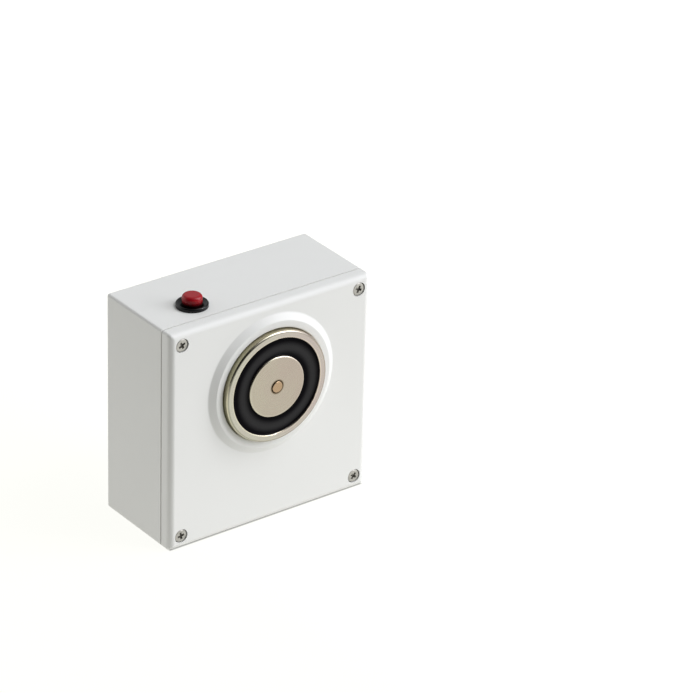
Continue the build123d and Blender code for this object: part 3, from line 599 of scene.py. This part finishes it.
@dataclass(frozen=True)
class TwoPartFinish:
    """A piece of two materials in one solid: a cover inside a box, and metal outside it.

    It serves a lead, with PVC between its bare ends, and a diode, whose body is a band along X.
    """

    name: str
    cover: str
    metal: str
    low_mm: tuple[float, float, float]
    high_mm: tuple[float, float, float]
    stripe: str | None = None
    stripe_mm: tuple[float, float] = (0.0, 0.0)
    roughness: float = 0.38
    ripple_mm: float = 1.2
    ripple_depth_mm: float = 0.02
    ripple_strength: float = 0.25

    def inside(
        self, tree: bpy.types.NodeTree, where: bpy.types.NodeSocket
    ) -> bpy.types.NodeSocket:
        """A mask that is 1 inside the box: there the least of six signed distances is above 0.

        Args:
            tree: the material's node tree.
            where: the Object coordinates.

        Returns:
            The socket with 1 between low_mm and high_mm and 0 outside them.
        """
        least_corner, most_corner = Vector(self.low_mm) * MM, Vector(self.high_mm) * MM
        low = add(tree, "VectorMath", {0: where, 1: least_corner}, operation="SUBTRACT")
        high = add(tree, "VectorMath", {0: most_corner, 1: where}, operation="SUBTRACT")
        both = add(
            tree, "VectorMath", {0: low.outputs[0], 1: high.outputs[0]}, operation="MINIMUM"
        )
        parts = add(tree, "SeparateXYZ", {0: both.outputs[0]}).outputs
        two = add(tree, "Math", {0: parts[0], 1: parts[1]}, operation="MINIMUM").outputs[0]
        least = add(tree, "Math", {0: two, 1: parts[2]}, operation="MINIMUM").outputs[0]
        return add(tree, "Math", {0: least, 1: 0.0}, operation="GREATER_THAN").outputs[0]

    def build(self) -> bpy.types.Material:
        """Makes the material. The stripe, where there is one, lies between two places along X.

        Returns:
            The material.
        """
        material, tree = blank_material(self.name)
        where = add(tree, "TexCoord").outputs["Object"]
        mask = self.inside(tree, where)
        colour = linear(self.cover)
        if self.stripe:
            start, end = (value * MM for value in self.stripe_mm)
            across = add(tree, "SeparateXYZ", {0: where}).outputs[0]
            after = add(tree, "Math", {0: across, 1: start}, operation="GREATER_THAN").outputs[0]
            before = add(tree, "Math", {0: across, 1: end}, operation="LESS_THAN").outputs[0]
            band = add(tree, "Math", {0: after, 1: before}, operation="MULTIPLY").outputs[0]
            colour = add(
                tree,
                "Mix",
                {"Factor": band, "A": colour, "B": linear(self.stripe)},
                data_type="RGBA",
            ).outputs["Result"]
        tone = add(
            tree, "Mix", {"Factor": mask, "A": linear(self.metal), "B": colour}, data_type="RGBA"
        )
        metallic = add(tree, "Math", {0: 1.0, 1: mask}, operation="SUBTRACT")
        ripple = add(
            tree, "TexNoise", {"Vector": where, "Scale": per_metre(self.ripple_mm), "Detail": 2.0}
        )
        bump = add(
            tree,
            "Bump",
            {
                "Height": ripple.outputs["Fac"],
                "Strength": self.ripple_strength,
                "Distance": self.ripple_depth_mm * MM,
            },
        )
        shader = add(
            tree,
            "BsdfPrincipled",
            {
                "Base Color": tone.outputs["Result"],
                "Metallic": metallic.outputs[0],
                "Normal": bump.outputs["Normal"],
                "Roughness": self.roughness,
            },
        )
        add(tree, "OutputMaterial", {"Surface": shader.outputs["BSDF"]})
        return material


# The finishes of this object: each comment says what the real surface gives the eye

# ABS, injection moulded in a spark-eroded tool: a clean satin white, a shade warmer in its clouds
WHITE_ABS = MouldedPlastic(
    "abs_moulded_satin_white", "#DCDCD9", "#D9D9D6", roughness=0.42, specular=0.35
)
# Mild steel, turned and then zinc plated and passivated: a warm grey that drifts in tone and
# mirrors softly. A painted sheen turns it from pinkish on the right to lighter and greenish on
# the left. From the pin outwards its bands give a darker edge to the pin's hole, a painted
# highlight on the pole's corner, a darker tone under the resin, a painted glint on the window's
# wall and the rim's inner corner, the ring's face, painted shade on the pot's rounding with a
# painted highlight at its outer edge, and painted olive shade on the side wall
PLATED_POT = TurnedMetal(
    "mild_steel_turned_plated",
    "#D4C4B8",
    "#DBD8C0",
    roughness=0.27,
    place=Place.MAGNET,
    bands=(
        (3.3, "#958A7A"),
        (3.9, "#D4D1D3"),
        (14.2, "#D4D1D3"),
        (14.5, "#E6E6E6"),
        (15.0, "#E6E6E6"),
        (15.3, "#C0C0C0"),
        (23.6, "#F0F0F0"),
        (24.0, "#FFFFFF"),
        (24.3, "#FFFFFF"),
        (24.7, "#DEE0E8"),
        (26.1, "#DEE0E8"),
        (26.4, "#E0E2E6"),
        (26.7, "#B8BABD"),
        (27.1, "#BFC1C3"),
        (27.3, "#F4F2EC"),
        (27.44, "#E8E6DC"),
        (27.49, "#B9BBAA"),
    ),
    left_sheen=0.9,
)
# Brass, turned: a muted, browner face with finer rings
TURNED_BRASS = TurnedMetal(
    "brass_turned", "#B79C80", "#A98F70", roughness=0.28, place=Place.MAGNET, ring_mm=0.2
)
# Brass strip and bar, stamped and drawn: brighter yellow
STRIP_BRASS = TurnedMetal(
    "brass_strip_stamped", "#D2B062", "#C7A352", roughness=0.32, place=Place.BUTTON, ring_mm=0.3
)
# Epoxy resin, cast: near black, with a painted sheen (more gloss, lighter tone) along a shifted
# circle, and painted shade with duller edges at both walls
RESIN = CastResin(
    "epoxy_resin_cast_black", "#040306", "#131118", roughness=0.14, place=Place.MAGNET
)
# Polished ABS: deep black with sharp highlights
BLACK_BUSH = MouldedPlastic(
    "abs_polished_black",
    "#020203",
    "#040405",
    roughness=0.08,
    grain_mm=0.8,
    grain_depth_mm=0.0004,
    specular=0.25,
)
# ABS, moulded satin: a strong red that greys a little under the lights, with painted shade
# at its foot
RED_CAP = MouldedPlastic(
    "abs_moulded_red",
    "#98131E",
    "#900F19",
    roughness=0.22,
    grain_mm=0.6,
    grain_depth_mm=0.002,
    specular=0.22,
    foot_shade="#120103",
    foot_shade_mm=(56.4, 59.0),
)
# Nylon in its natural colour, moulded: milky and slightly waxy
NYLON = MouldedPlastic(
    "nylon_moulded_natural", "#DCD6C6", "#D4CDBB", roughness=0.45, grain_mm=0.5, cloud_mm=9.0
)
# Steel strip, hot-dip galvanised and pressed: grey with pale crystals
ZINC_SHEET = CoatedMetal(
    "steel_sheet_galvanised", "#AFB2B4", "#C3C5C6", roughness=0.36, patch_mm=4.0
)
# Steel wire, cold headed and bright zinc plated: silvery, almost without pattern
ZINC_SCREW = CoatedMetal(
    "steel_headed_zinc_plated", "#B8B6B0", "#A8A6A0", roughness=0.42, patch_mm=1.6
)
# Music wire, cold drawn and oiled: darker, with a long sheen
SPRING_WIRE = CoatedMetal("spring_steel_drawn", "#8E8F92", "#7C7D80", roughness=0.30, patch_mm=0.9)
# Copper wire with a clear red-brown enamel
ENAMELLED_COPPER = CoatedMetal(
    "copper_wire_enamelled", "#A95D36", "#9A4F2B", roughness=0.32, patch_mm=1.0
)
# Rubber, compression moulded: matt black with a grey bloom
RUBBER = Rubber("rubber_moulded_black", "#171717", "#232323")
# Red PVC, with bare copper where it enters the block and the button
RED_LEAD = TwoPartFinish(
    "pvc_extruded_red_wire", "#9E1B1B", "#C08A62", (-FAR, -FAR, -20.5), (FAR, FAR, 26.0)
)
# Black PVC, with bare copper where it enters the block
BLACK_LEAD = TwoPartFinish(
    "pvc_extruded_black_wire", "#151516", "#C08A62", (-FAR, -FAR, -20.5), (FAR, FAR, FAR)
)
# Epoxy moulded over the junction, with a silver cathode band, on tinned legs
DIODE = TwoPartFinish(
    "epoxy_moulded_diode",
    "#121214",
    "#B9B9B6",
    (-14.6, -12.4, -44.4),
    (-9.4, -9.6, -41.6),
    stripe="#C9C9C6",
    stripe_mm=(-10.9, -10.1),
)


# Surfaces worked out with numpy


def grid_faces(rows: int, columns: int, joined: bool) -> np.ndarray:
    """Joins rings of points into quads: a point, its neighbour and the two in the next ring.

    Args:
        rows: how many rings there are.
        columns: how many points a ring has.
        joined: whether the last ring joins the first.

    Returns:
        An array of four point numbers a quad.
    """
    row, column = np.meshgrid(
        np.arange(rows if joined else rows - 1), np.arange(columns), indexing="ij"
    )
    below, right = (row + 1) % rows, (column + 1) % columns
    corners = (
        row * columns + column,
        row * columns + right,
        below * columns + right,
        below * columns + column,
    )
    return np.stack(corners, axis=-1).reshape(-1, 4)


def closed_surface(name: str, points: np.ndarray, joined: bool = False) -> bpy.types.Object:
    """Makes a closed smooth mesh from rings of points, with its faces outwards.

    The volume is the sum over the triangles of a dot (b cross c) over 6. Where it is below 0, the
    quads are turned. Where the last ring doesn't join the first, the points of each of them
    coincide, so the ends are closed.

    Args:
        name: the object's name.
        points: an array of rows by columns by 3, in metres. Each row is a closed ring.
        joined: whether the last ring joins the first.

    Returns:
        The new object, linked to the scene.
    """
    rows, columns, _ = points.shape
    faces = grid_faces(rows, columns, joined)
    flat = points.reshape(-1, 3)
    a, b, c, d = (flat[faces[:, i]] for i in range(4))
    volume = np.einsum("ij,ij->i", a, np.cross(b, c)).sum()
    volume += np.einsum("ij,ij->i", a, np.cross(c, d)).sum()
    if volume < 0:
        faces = faces[:, ::-1]
    mesh = bpy.data.meshes.new(name)
    mesh.from_pydata(flat.tolist(), [], faces.tolist())
    mesh.validate()
    mesh.shade_smooth()
    piece = bpy.data.objects.new(name, mesh)
    bpy.context.scene.collection.objects.link(piece)
    return piece


def about_magnet(across: np.ndarray, up: np.ndarray, out: np.ndarray) -> np.ndarray:
    """Turns mm across and up from the magnet's axis and out from the wall into metres."""
    centre = Place.MAGNET.point
    return np.stack([across * MM + centre.x, -out * MM, up * MM + centre.z], axis=-1)


def about_button(across: np.ndarray, back: np.ndarray, up: np.ndarray) -> np.ndarray:
    """Turns mm from the button's axis and up from the case's middle into metres."""
    centre = Place.BUTTON.point
    return np.stack([across * MM + centre.x, back * MM + centre.y, up * MM], axis=-1)


@dataclass(frozen=True)
class CoilSpring:
    """A compression spring of round wire with closed ends.

    The coil's mean radius and the wire's radius come first, then the heights of both ends.
    """

    mean_mm: float
    wire_mm: float
    low_mm: float
    high_mm: float
    turns: float
    steps_a_turn: int = 40
    round_steps: int = 10

    def points(self) -> tuple[np.ndarray, np.ndarray, np.ndarray]:
        """Works out the wire's skin, as a function of its turn t and the angle u round the wire.

        The centre line is at angle 2 pi t and at a height that rises by one wire in each end turn
        and evenly between them. The skin is the centre line plus the wire's radius times cos(u)
        outwards and sin(u) along the axis. The first and last rings shrink to a point, so the
        wire's ends are closed.

        Returns:
            Three arrays of rows by columns, in mm: two across the axis and one along it.
        """
        count = int(self.turns * self.steps_a_turn)
        turn = np.linspace(0.0, self.turns, count)
        end_turn = (turn < 1.0) | (turn > self.turns - 1.0)
        tall = self.high_mm - self.low_mm - 2 * self.wire_mm
        free = tall - 2 * (2 * self.wire_mm)
        rise = np.where(end_turn, 2 * self.wire_mm, free / (self.turns - 2.0))
        height = np.cumsum(rise * np.diff(turn, prepend=0.0))
        height = self.low_mm + self.wire_mm + height * tall / height[-1]
        angle = 2 * math.pi * turn[:, None]
        round_angle = np.linspace(0.0, 2 * math.pi, self.round_steps, endpoint=False)[None, :]
        thickness = np.full((count, 1), self.wire_mm)
        thickness[[0, -1]] = 0.0
        radius = self.mean_mm + thickness * np.cos(round_angle)
        along = height[:, None] + thickness * np.sin(round_angle)
        return radius * np.cos(angle), radius * np.sin(angle), along


@dataclass(frozen=True)
class ResinPour:
    """The resin's ring: flat underneath, with a top that creeps up both walls and undulates.

    Each of the ripples has its height, how many waves it has round the ring, and its phase.
    """

    inner_mm: float = 15.05
    outer_mm: float = 23.95
    foot_mm: float = 51.0
    edge_mm: float = 54.0
    sag_mm: float = 0.45
    creep_mm: float = 0.55
    wave_mm: float = 0.035
    ripples: tuple[tuple[float, int, float], ...] = ((1.0, 3, 0.6), (0.6, 7, 2.1), (0.4, 13, 4.0))
    steps_round: int = 240
    steps_across: int = 48

    def points(self) -> tuple[np.ndarray, np.ndarray, np.ndarray]:
        """Works out the ring's skin as a closed profile at each angle.

        The top is the edge's height less the sag times (1 - exp(-distance to the nearest wall over
        the creep)), less a wave that is a sum of sines of the angle times a sine across the ring,
        and 0 at both walls.

        Returns:
            Three arrays of rows by columns, in mm: across, up and out.
        """
        angle = np.linspace(0.0, 2 * math.pi, self.steps_round, endpoint=False)[:, None]
        share = 0.5 - 0.5 * np.cos(np.linspace(0.0, math.pi, self.steps_across))[None, :]
        radius = self.inner_mm + (self.outer_mm - self.inner_mm) * share
        wall = np.minimum(radius - self.inner_mm, self.outer_mm - radius)
        top = self.edge_mm - self.sag_mm * (1 - np.exp(-wall / self.creep_mm))
        waves = sum(size * np.sin(count * angle + phase) for size, count, phase in self.ripples)
        top = top - self.wave_mm * (1 + 0.5 * waves) * np.sin(math.pi * share)
        foot = np.full((self.steps_round, 2), self.foot_mm)
        walls = np.tile([self.outer_mm, self.inner_mm], (self.steps_round, 1))
        radius = np.concatenate([np.broadcast_to(radius, top.shape), walls], axis=1)
        out = np.concatenate([top, foot], axis=1)
        return radius * np.cos(angle), radius * np.sin(angle), out


@dataclass(frozen=True)
class LayerWinding:
    """The winding: a ring whose outer wall shows each turn of wire as a bead."""

    inner_mm: float = 16.45
    outer_mm: float = 23.2
    foot_mm: float = 36.25
    top_mm: float = 49.75
    turns: int = 30
    steps_round: int = 160
    bead_steps: int = 6

    def points(self) -> tuple[np.ndarray, np.ndarray, np.ndarray]:
        """Works out the ring's skin.

        The outer wall stands at the outer radius less a bead's radius times (1 - |sin|) of the
        height, one half wave a turn, so each turn is a round bead.

        Returns:
            Three arrays of rows by columns, in mm: across, up and out.
        """
        angle = np.linspace(0.0, 2 * math.pi, self.steps_round, endpoint=False)[:, None]
        share = np.linspace(0.0, 1.0, self.turns * self.bead_steps + 1)
        tall = self.top_mm - self.foot_mm
        bead = tall / self.turns / 2
        wall = self.outer_mm - bead * (1 - np.abs(np.sin(math.pi * self.turns * share)))
        radius = np.concatenate([wall, [self.inner_mm, self.inner_mm]])[None, :]
        out = np.concatenate([self.foot_mm + tall * share, [self.top_mm, self.foot_mm]])
        out = np.broadcast_to(out[None, :], (self.steps_round, out.size))
        return radius * np.cos(angle), radius * np.sin(angle), out


# The object's sub-assemblies


class SubAssembly(ABC):
    """What the sub-assemblies share: dressing their CAD nodes and taking in new pieces."""

    @property
    @abstractmethod
    def finishes(self) -> dict[str, Finish]:
        """The finish of each of its CAD nodes."""

    def build(self) -> None:
        """Gives each CAD node of this sub-assembly its finish."""
        for node, finish in self.finishes.items():
            material = bpy.data.materials.get(finish.name) or finish.build()
            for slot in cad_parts[node].material_slots:
                slot.material = material
            LOG.info("%s: %s", node, finish.name)

    def take_in(
        self, piece: bpy.types.Object, body: str, node: str, slot: str, finish: Finish
    ) -> None:
        """Puts a new piece on its body in place of a CAD node.

        Args:
            piece: the new object.
            body: the CAD body that it rides on.
            node: the CAD node that it stands for.
            slot: the record's material slot; it is not used.
            finish: its finish.
        """
        piece.data.materials.append(bpy.data.materials.get(finish.name) or finish.build())
        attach(piece, body)
        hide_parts(node)
        LOG.info("%s: stands for %s, %s", piece.name, node, finish.name)


@dataclass
class Case(SubAssembly):
    """The two white mouldings, their screws and the rubber ring of the cable's hole."""

    screws: int = 4

    @property
    def finishes(self) -> dict[str, Finish]:
        """The finish of each of the case's nodes."""
        shells = {"rear_box": WHITE_ABS, "front_cover": WHITE_ABS, "cable_grommet": RUBBER}
        return shells | {f"cover_screw_{n + 1}": ZINC_SCREW for n in range(self.screws)}


@dataclass
class Magnet(SubAssembly):
    """The steel pot with its spool, winding, resin and sprung pin."""

    resin: ResinPour = ResinPour()
    winding: LayerWinding = LayerWinding()
    spring: CoilSpring = CoilSpring(
        mean_mm=3.0, wire_mm=0.35, low_mm=39.8, high_mm=48.95, turns=7.0
    )
    pin_travel_mm: float = 3.0

    @property
    def finishes(self) -> dict[str, Finish]:
        """The finish of each of the magnet's nodes."""
        return {"magnet_pot": PLATED_POT, "coil_bobbin": NYLON, "ejector_pin": TURNED_BRASS}

    def build(self) -> None:
        """Dresses the magnet and adds its resin, winding and spring."""
        super().build()
        resin = closed_surface("resin_pour", about_magnet(*self.resin.points()), joined=True)
        self.take_in(resin, "case", "resin_ring", "black_resin", RESIN)
        winding = closed_surface("wire_layers", about_magnet(*self.winding.points()), joined=True)
        self.take_in(winding, "case", "coil_winding", "copper_winding", ENAMELLED_COPPER)
        spring = closed_surface("pin_spring_wire", about_magnet(*self.spring.points()))
        self.take_in(spring, "case", "ejector_spring", "spring_wire", SPRING_WIRE)
        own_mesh(spring)


@dataclass
class Carrier(SubAssembly):
    """What carries the magnet: the back plate, the folded bracket, its screws and the bolt."""

    screws: int = 4

    @property
    def finishes(self) -> dict[str, Finish]:
        """The finish of each of the carrier's nodes.

        Returns:
            A finish for each node's name, in the order of dressing.
        """
        sheets = {"back_plate": ZINC_SHEET, "magnet_bracket": ZINC_SHEET}
        bolt = {"magnet_bolt": ZINC_SCREW, "lock_washer": ZINC_SCREW}
        screws = {f"bracket_screw_{n + 1}": ZINC_SCREW for n in range(self.screws)}
        return sheets | bolt | screws


@dataclass
class ReleaseButton(SubAssembly):
    """The push-to-break button in the top of the case."""

    spring: CoilSpring = CoilSpring(
        mean_mm=2.4, wire_mm=0.25, low_mm=37.5, high_mm=42.75, turns=5.5
    )
    travel_mm: float = 2.0

    @property
    def finishes(self) -> dict[str, Finish]:
        """The finish of each of the button's nodes."""
        return {
            "button_housing": BLACK_BUSH,
            "button_base": BLACK_BUSH,
            "button_cap": RED_CAP,
            "contact_disc": STRIP_BRASS,
            "wall_side_blade": STRIP_BRASS,
            "door_side_blade": STRIP_BRASS,
            "tooth_washer": ZINC_SCREW,
            "button_nut": ZINC_SCREW,
        }

    def build(self) -> None:
        """Dresses the button and adds its spring."""
        super().build()
        spring = closed_surface("button_spring_wire", about_button(*self.spring.points()))
        self.take_in(spring, "case", "button_spring", "spring_wire", SPRING_WIRE)
        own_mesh(spring)


@dataclass
class Wiring(SubAssembly):
    """The terminal block, its screws and inserts, the diode and the three leads."""

    inserts: int = 2
    screws: int = 4

    @property
    def finishes(self) -> dict[str, Finish]:
        """The finish of each of the wiring's nodes.

        Returns:
            A finish for each node's name, in the order of dressing.
        """
        block = {"terminal_block": NYLON, "block_screw": ZINC_SCREW, "suppression_diode": DIODE}
        leads = {"feed_lead": RED_LEAD, "switched_lead": RED_LEAD, "return_lead": BLACK_LEAD}
        inserts = {f"terminal_insert_{n + 1}": STRIP_BRASS for n in range(self.inserts)}
        screws = {f"clamp_screw_{n + 1}": ZINC_SCREW for n in range(self.screws)}
        return block | leads | inserts | screws


# Studio


@dataclass(frozen=True)
class Camera:
    """The photograph's camera, as fitted to the case's edges and the magnet's circles."""

    azimuth: float = -0.6528
    elevation: float = 0.4876
    roll: float = 0.0270
    distance_mm: float = 1884.81
    focal_px: float = 4168.89
    shift_mm: tuple[float, float] = (-34.686, -29.888)
    front_mm: float = 50.0
    width_px: int = 694
    sensor_mm: float = 36.0
    clip: tuple[float, float] = (0.05, 60.0)

    def build(self) -> None:
        """Makes the camera.

        The eye is at the distance along the backward axis, less the two shifts along the rolled
        right and up axes, in a frame whose front plane is y = 0, so it then moves by the case's
        depth.
        """
        a, e, r = self.azimuth, self.elevation, self.roll
        back = Vector((math.sin(a) * math.cos(e), -math.cos(a) * math.cos(e), math.sin(e)))
        level = Vector((math.cos(a), math.sin(a), 0.0))
        upright = back.cross(level)
        right = math.cos(r) * level + math.sin(r) * upright
        up = -math.sin(r) * level + math.cos(r) * upright
        eye = back * self.distance_mm - right * self.shift_mm[0] - up * self.shift_mm[1]
        eye = (eye - Vector((0.0, self.front_mm, 0.0))) * MM
        data = bpy.data.cameras.new("photo_camera")
        data.sensor_width = self.sensor_mm
        data.lens = self.focal_px * self.sensor_mm / self.width_px
        data.clip_start, data.clip_end = self.clip
        camera = bpy.data.objects.new("photo_camera", data)
        bpy.context.scene.collection.objects.link(camera)
        turn = Matrix((right, up, back)).transposed().to_4x4()
        camera.matrix_world = Matrix.Translation(eye) @ turn
        bpy.context.scene.camera = camera


@dataclass(frozen=True)
class SoftLobe:
    """One soft light of the room: its way, its strength, the power that narrows it, its colour."""

    way: tuple[float, float, float]
    strength: float
    power: float
    colour: tuple[float, float, float] = (1.0, 1.0, 1.0)


@dataclass(frozen=True)
class SoftBox:
    """A small round soft box that puts glints on glossy pieces, in metres and watts."""

    way: tuple[float, float, float]
    distance: float
    diameter: float
    watts: float

    def build(self, name: str, aim: Vector) -> None:
        """Makes the light and turns it towards a point.

        Args:
            name: the light's name.
            aim: the point that it faces.
        """
        data = bpy.data.lights.new(name, "AREA")
        data.shape, data.size, data.energy = "DISK", self.diameter, self.watts
        light = bpy.data.objects.new(name, data)
        bpy.context.scene.collection.objects.link(light)
        way = Vector(self.way).normalized()
        light.location = aim + way * self.distance
        light.rotation_euler = way.to_track_quat("Z", "Y").to_euler()


@dataclass(frozen=True)
class Studio:
    """A glowing white floor in a dim room, with soft lights on the right, overhead and behind.

    Lengths are in metres. The floor's glow has a painted shadow under the case and a painted pool
    of light that rises to the right; the names that start with dim set its fall towards the camera.
    """

    aim: tuple[float, float, float] = (0.0, -50.0 * MM, 15.5 * MM)
    floor_z: float = -55.0 * MM
    floor_size: float = 9.0
    floor_colour: str = "#505050"
    floor_roughness: float = 0.9
    floor_glow: tuple[float, float, float] = (1.0, 1.0, 0.955)
    floor_strength: float = 0.95
    # painted shadow under the case: its half sizes, its middle and its fade
    shadow_half: tuple[float, float, float] = (55.0 * MM, 25.0 * MM, 1.0)
    shadow_middle: tuple[float, float, float] = (0.0, -25.0 * MM, 0.0)
    shadow_fade: tuple[float, float] = (-2.2 * MM, -0.4 * MM)
    # painted pool of light: how much the glow rises to the right, and where
    painted_pool_rise: float = 0.14
    painted_pool_x: tuple[float, float] = (-50.0 * MM, 200.0 * MM)
    dim_way: tuple[float, float, float] = (-0.61, -0.79, 0.0)
    dim_share: float = 0.5
    dim_from: tuple[float, float] = (228.0 * MM, 354.0 * MM)
    lobes: tuple[SoftLobe, ...] = (
        SoftLobe((0.767, -0.512, 0.386), 6.1, 17.7, (0.985, 0.99, 1.05)),
        SoftLobe((0.465, -0.419, 0.78), 4.5, 15.3, (0.98, 1.0, 1.03)),
        SoftLobe((0.35, 0.6, 0.72), 0.86, 4.0, (0.98, 1.0, 1.01)),
        SoftLobe((-0.632, 0.766, 0.117), 1.85, 6.0),
    )
    boxes: tuple[SoftBox, ...] = (
        SoftBox((0.60, -0.74, 0.30), distance=1.2, diameter=0.09, watts=1.2),
        SoftBox((0.45, -0.30, 0.84), distance=1.2, diameter=0.09, watts=1.2),
    )

    def build(self) -> None:
        """Makes the room, the soft boxes and the floor."""
        scene = bpy.context.scene
        scene.view_settings.view_transform = "Standard"
        scene.world = self.room()
        for number, box in enumerate(self.boxes):
            box.build(f"soft_box_{number + 1}", Vector(self.aim))
        half = self.floor_size / 2
        mesh = bpy.data.meshes.new("studio_floor")
        corners = [(-half, -half), (half, -half), (half, half), (-half, half)]
        mesh.from_pydata([(x, y, self.floor_z) for x, y in corners], [], [(0, 1, 2, 3)])
        floor = bpy.data.objects.new("studio_floor", mesh)
        scene.collection.objects.link(floor)
        mesh.materials.append(self.lit_floor())

    def room(self) -> bpy.types.World:
        """Makes the room's light, as a function of its direction d.

        Each lobe is its strength times its power of d dot its way. Their sum lights the room.

        Returns:
            The world.
        """
        world = bpy.data.worlds.new("dim_room_with_soft_lights")
        world.use_nodes = True
        tree = world.node_tree
        tree.nodes.clear()
        way = add(tree, "TexCoord").outputs["Generated"]
        total = None
        for lobe in self.lobes:
            toward = Vector(lobe.way).normalized()
            near = add(tree, "VectorMath", {0: way, 1: toward}, operation="DOT_PRODUCT")
            clear = add(tree, "Math", {0: near.outputs["Value"], 1: 0.0}, operation="MAXIMUM")
            shape = add(tree, "Math", {0: clear.outputs[0], 1: lobe.power}, operation="POWER")
            tint = Vector(lobe.colour) * lobe.strength
            glow = add(tree, "VectorMath", {0: tint, "Scale": shape.outputs[0]}, operation="SCALE")
            if total is not None:
                glow = add(
                    tree, "VectorMath", {0: total, 1: glow.outputs[0]}, operation="ADD"
                )
            total = glow.outputs[0]
        sky = add(tree, "Background", {"Color": total, "Strength": 1.0})
        add(tree, "OutputWorld", {"Surface": sky.outputs[0]})
        return world

    def lit_floor(self) -> bpy.types.Material:
        """Makes the floor's material: a glowing sheet with a painted shadow under the case.

        The painted shadow is where the greater of the two distances from the middle of the case's
        foot, less its half sizes, is below 0, and it shows as a thin dark line under the case's
        front edge. The glow rises to the right between two places along X: a painted pool of light.
        It falls by dim_share where the distance along dim_way lies beyond dim_from.

        Returns:
            The material.
        """
        material, tree = blank_material("glowing_floor_painted_shadow_and_pool")
        where = add(tree, "TexCoord").outputs["Object"]
        # Painted shadow: the glow is 0 under the case's foot and fades in just outside it
        moved = add(tree, "VectorMath", {0: where, 1: self.shadow_middle}, operation="SUBTRACT")
        apart = add(tree, "VectorMath", {0: moved.outputs[0]}, operation="ABSOLUTE").outputs[0]
        over = add(tree, "VectorMath", {0: apart, 1: self.shadow_half}, operation="SUBTRACT")
        sides = add(tree, "SeparateXYZ", {0: over.outputs[0]}).outputs
        greater = add(tree, "Math", {0: sides[0], 1: sides[1]}, operation="MAXIMUM").outputs[0]
        low, high = self.shadow_fade
        bare = add(
            tree, "MapRange", {0: greater, 1: low, 2: high, 3: 0.0, 4: self.floor_strength}
        ).outputs[0]
        # Painted pool of light: the glow rises to the right
        low, high = self.painted_pool_x
        across = add(tree, "SeparateXYZ", {0: where}).outputs[0]
        painted_pool = add(
            tree, "MapRange", {0: across, 1: low, 2: high, 3: 1.0, 4: 1.0 + self.painted_pool_rise}
        ).outputs[0]
        low, high = self.dim_from
        toward = add(tree, "VectorMath", {0: where, 1: self.dim_way}, operation="DOT_PRODUCT")
        dim = add(
            tree,
            "MapRange",
            {0: toward.outputs["Value"], 1: low, 2: high, 3: 1.0, 4: 1.0 - self.dim_share},
        ).outputs[0]
        both = add(tree, "Math", {0: painted_pool, 1: dim}, operation="MULTIPLY").outputs[0]
        glow = add(tree, "Math", {0: bare, 1: both}, operation="MULTIPLY").outputs[0]
        shader = add(
            tree,
            "BsdfPrincipled",
            {
                "Base Color": linear(self.floor_colour),
                "Roughness": self.floor_roughness,
                "Specular IOR Level": 0.0,
                "Emission Color": (*self.floor_glow, 1.0),
                "Emission Strength": glow,
            },
        )
        add(tree, "OutputMaterial", {"Surface": shader.outputs["BSDF"]})
        return material


def main() -> None:
    logging.basicConfig(level=logging.INFO, format="%(name)s %(message)s")
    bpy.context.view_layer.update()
    Camera().build()
    Studio().build()
    for part in (Case(), Magnet(), Carrier(), ReleaseButton(), Wiring()):
        part.build()
        LOG.info("%s built", type(part).__name__)


if __name__ == "__main__":
    main()
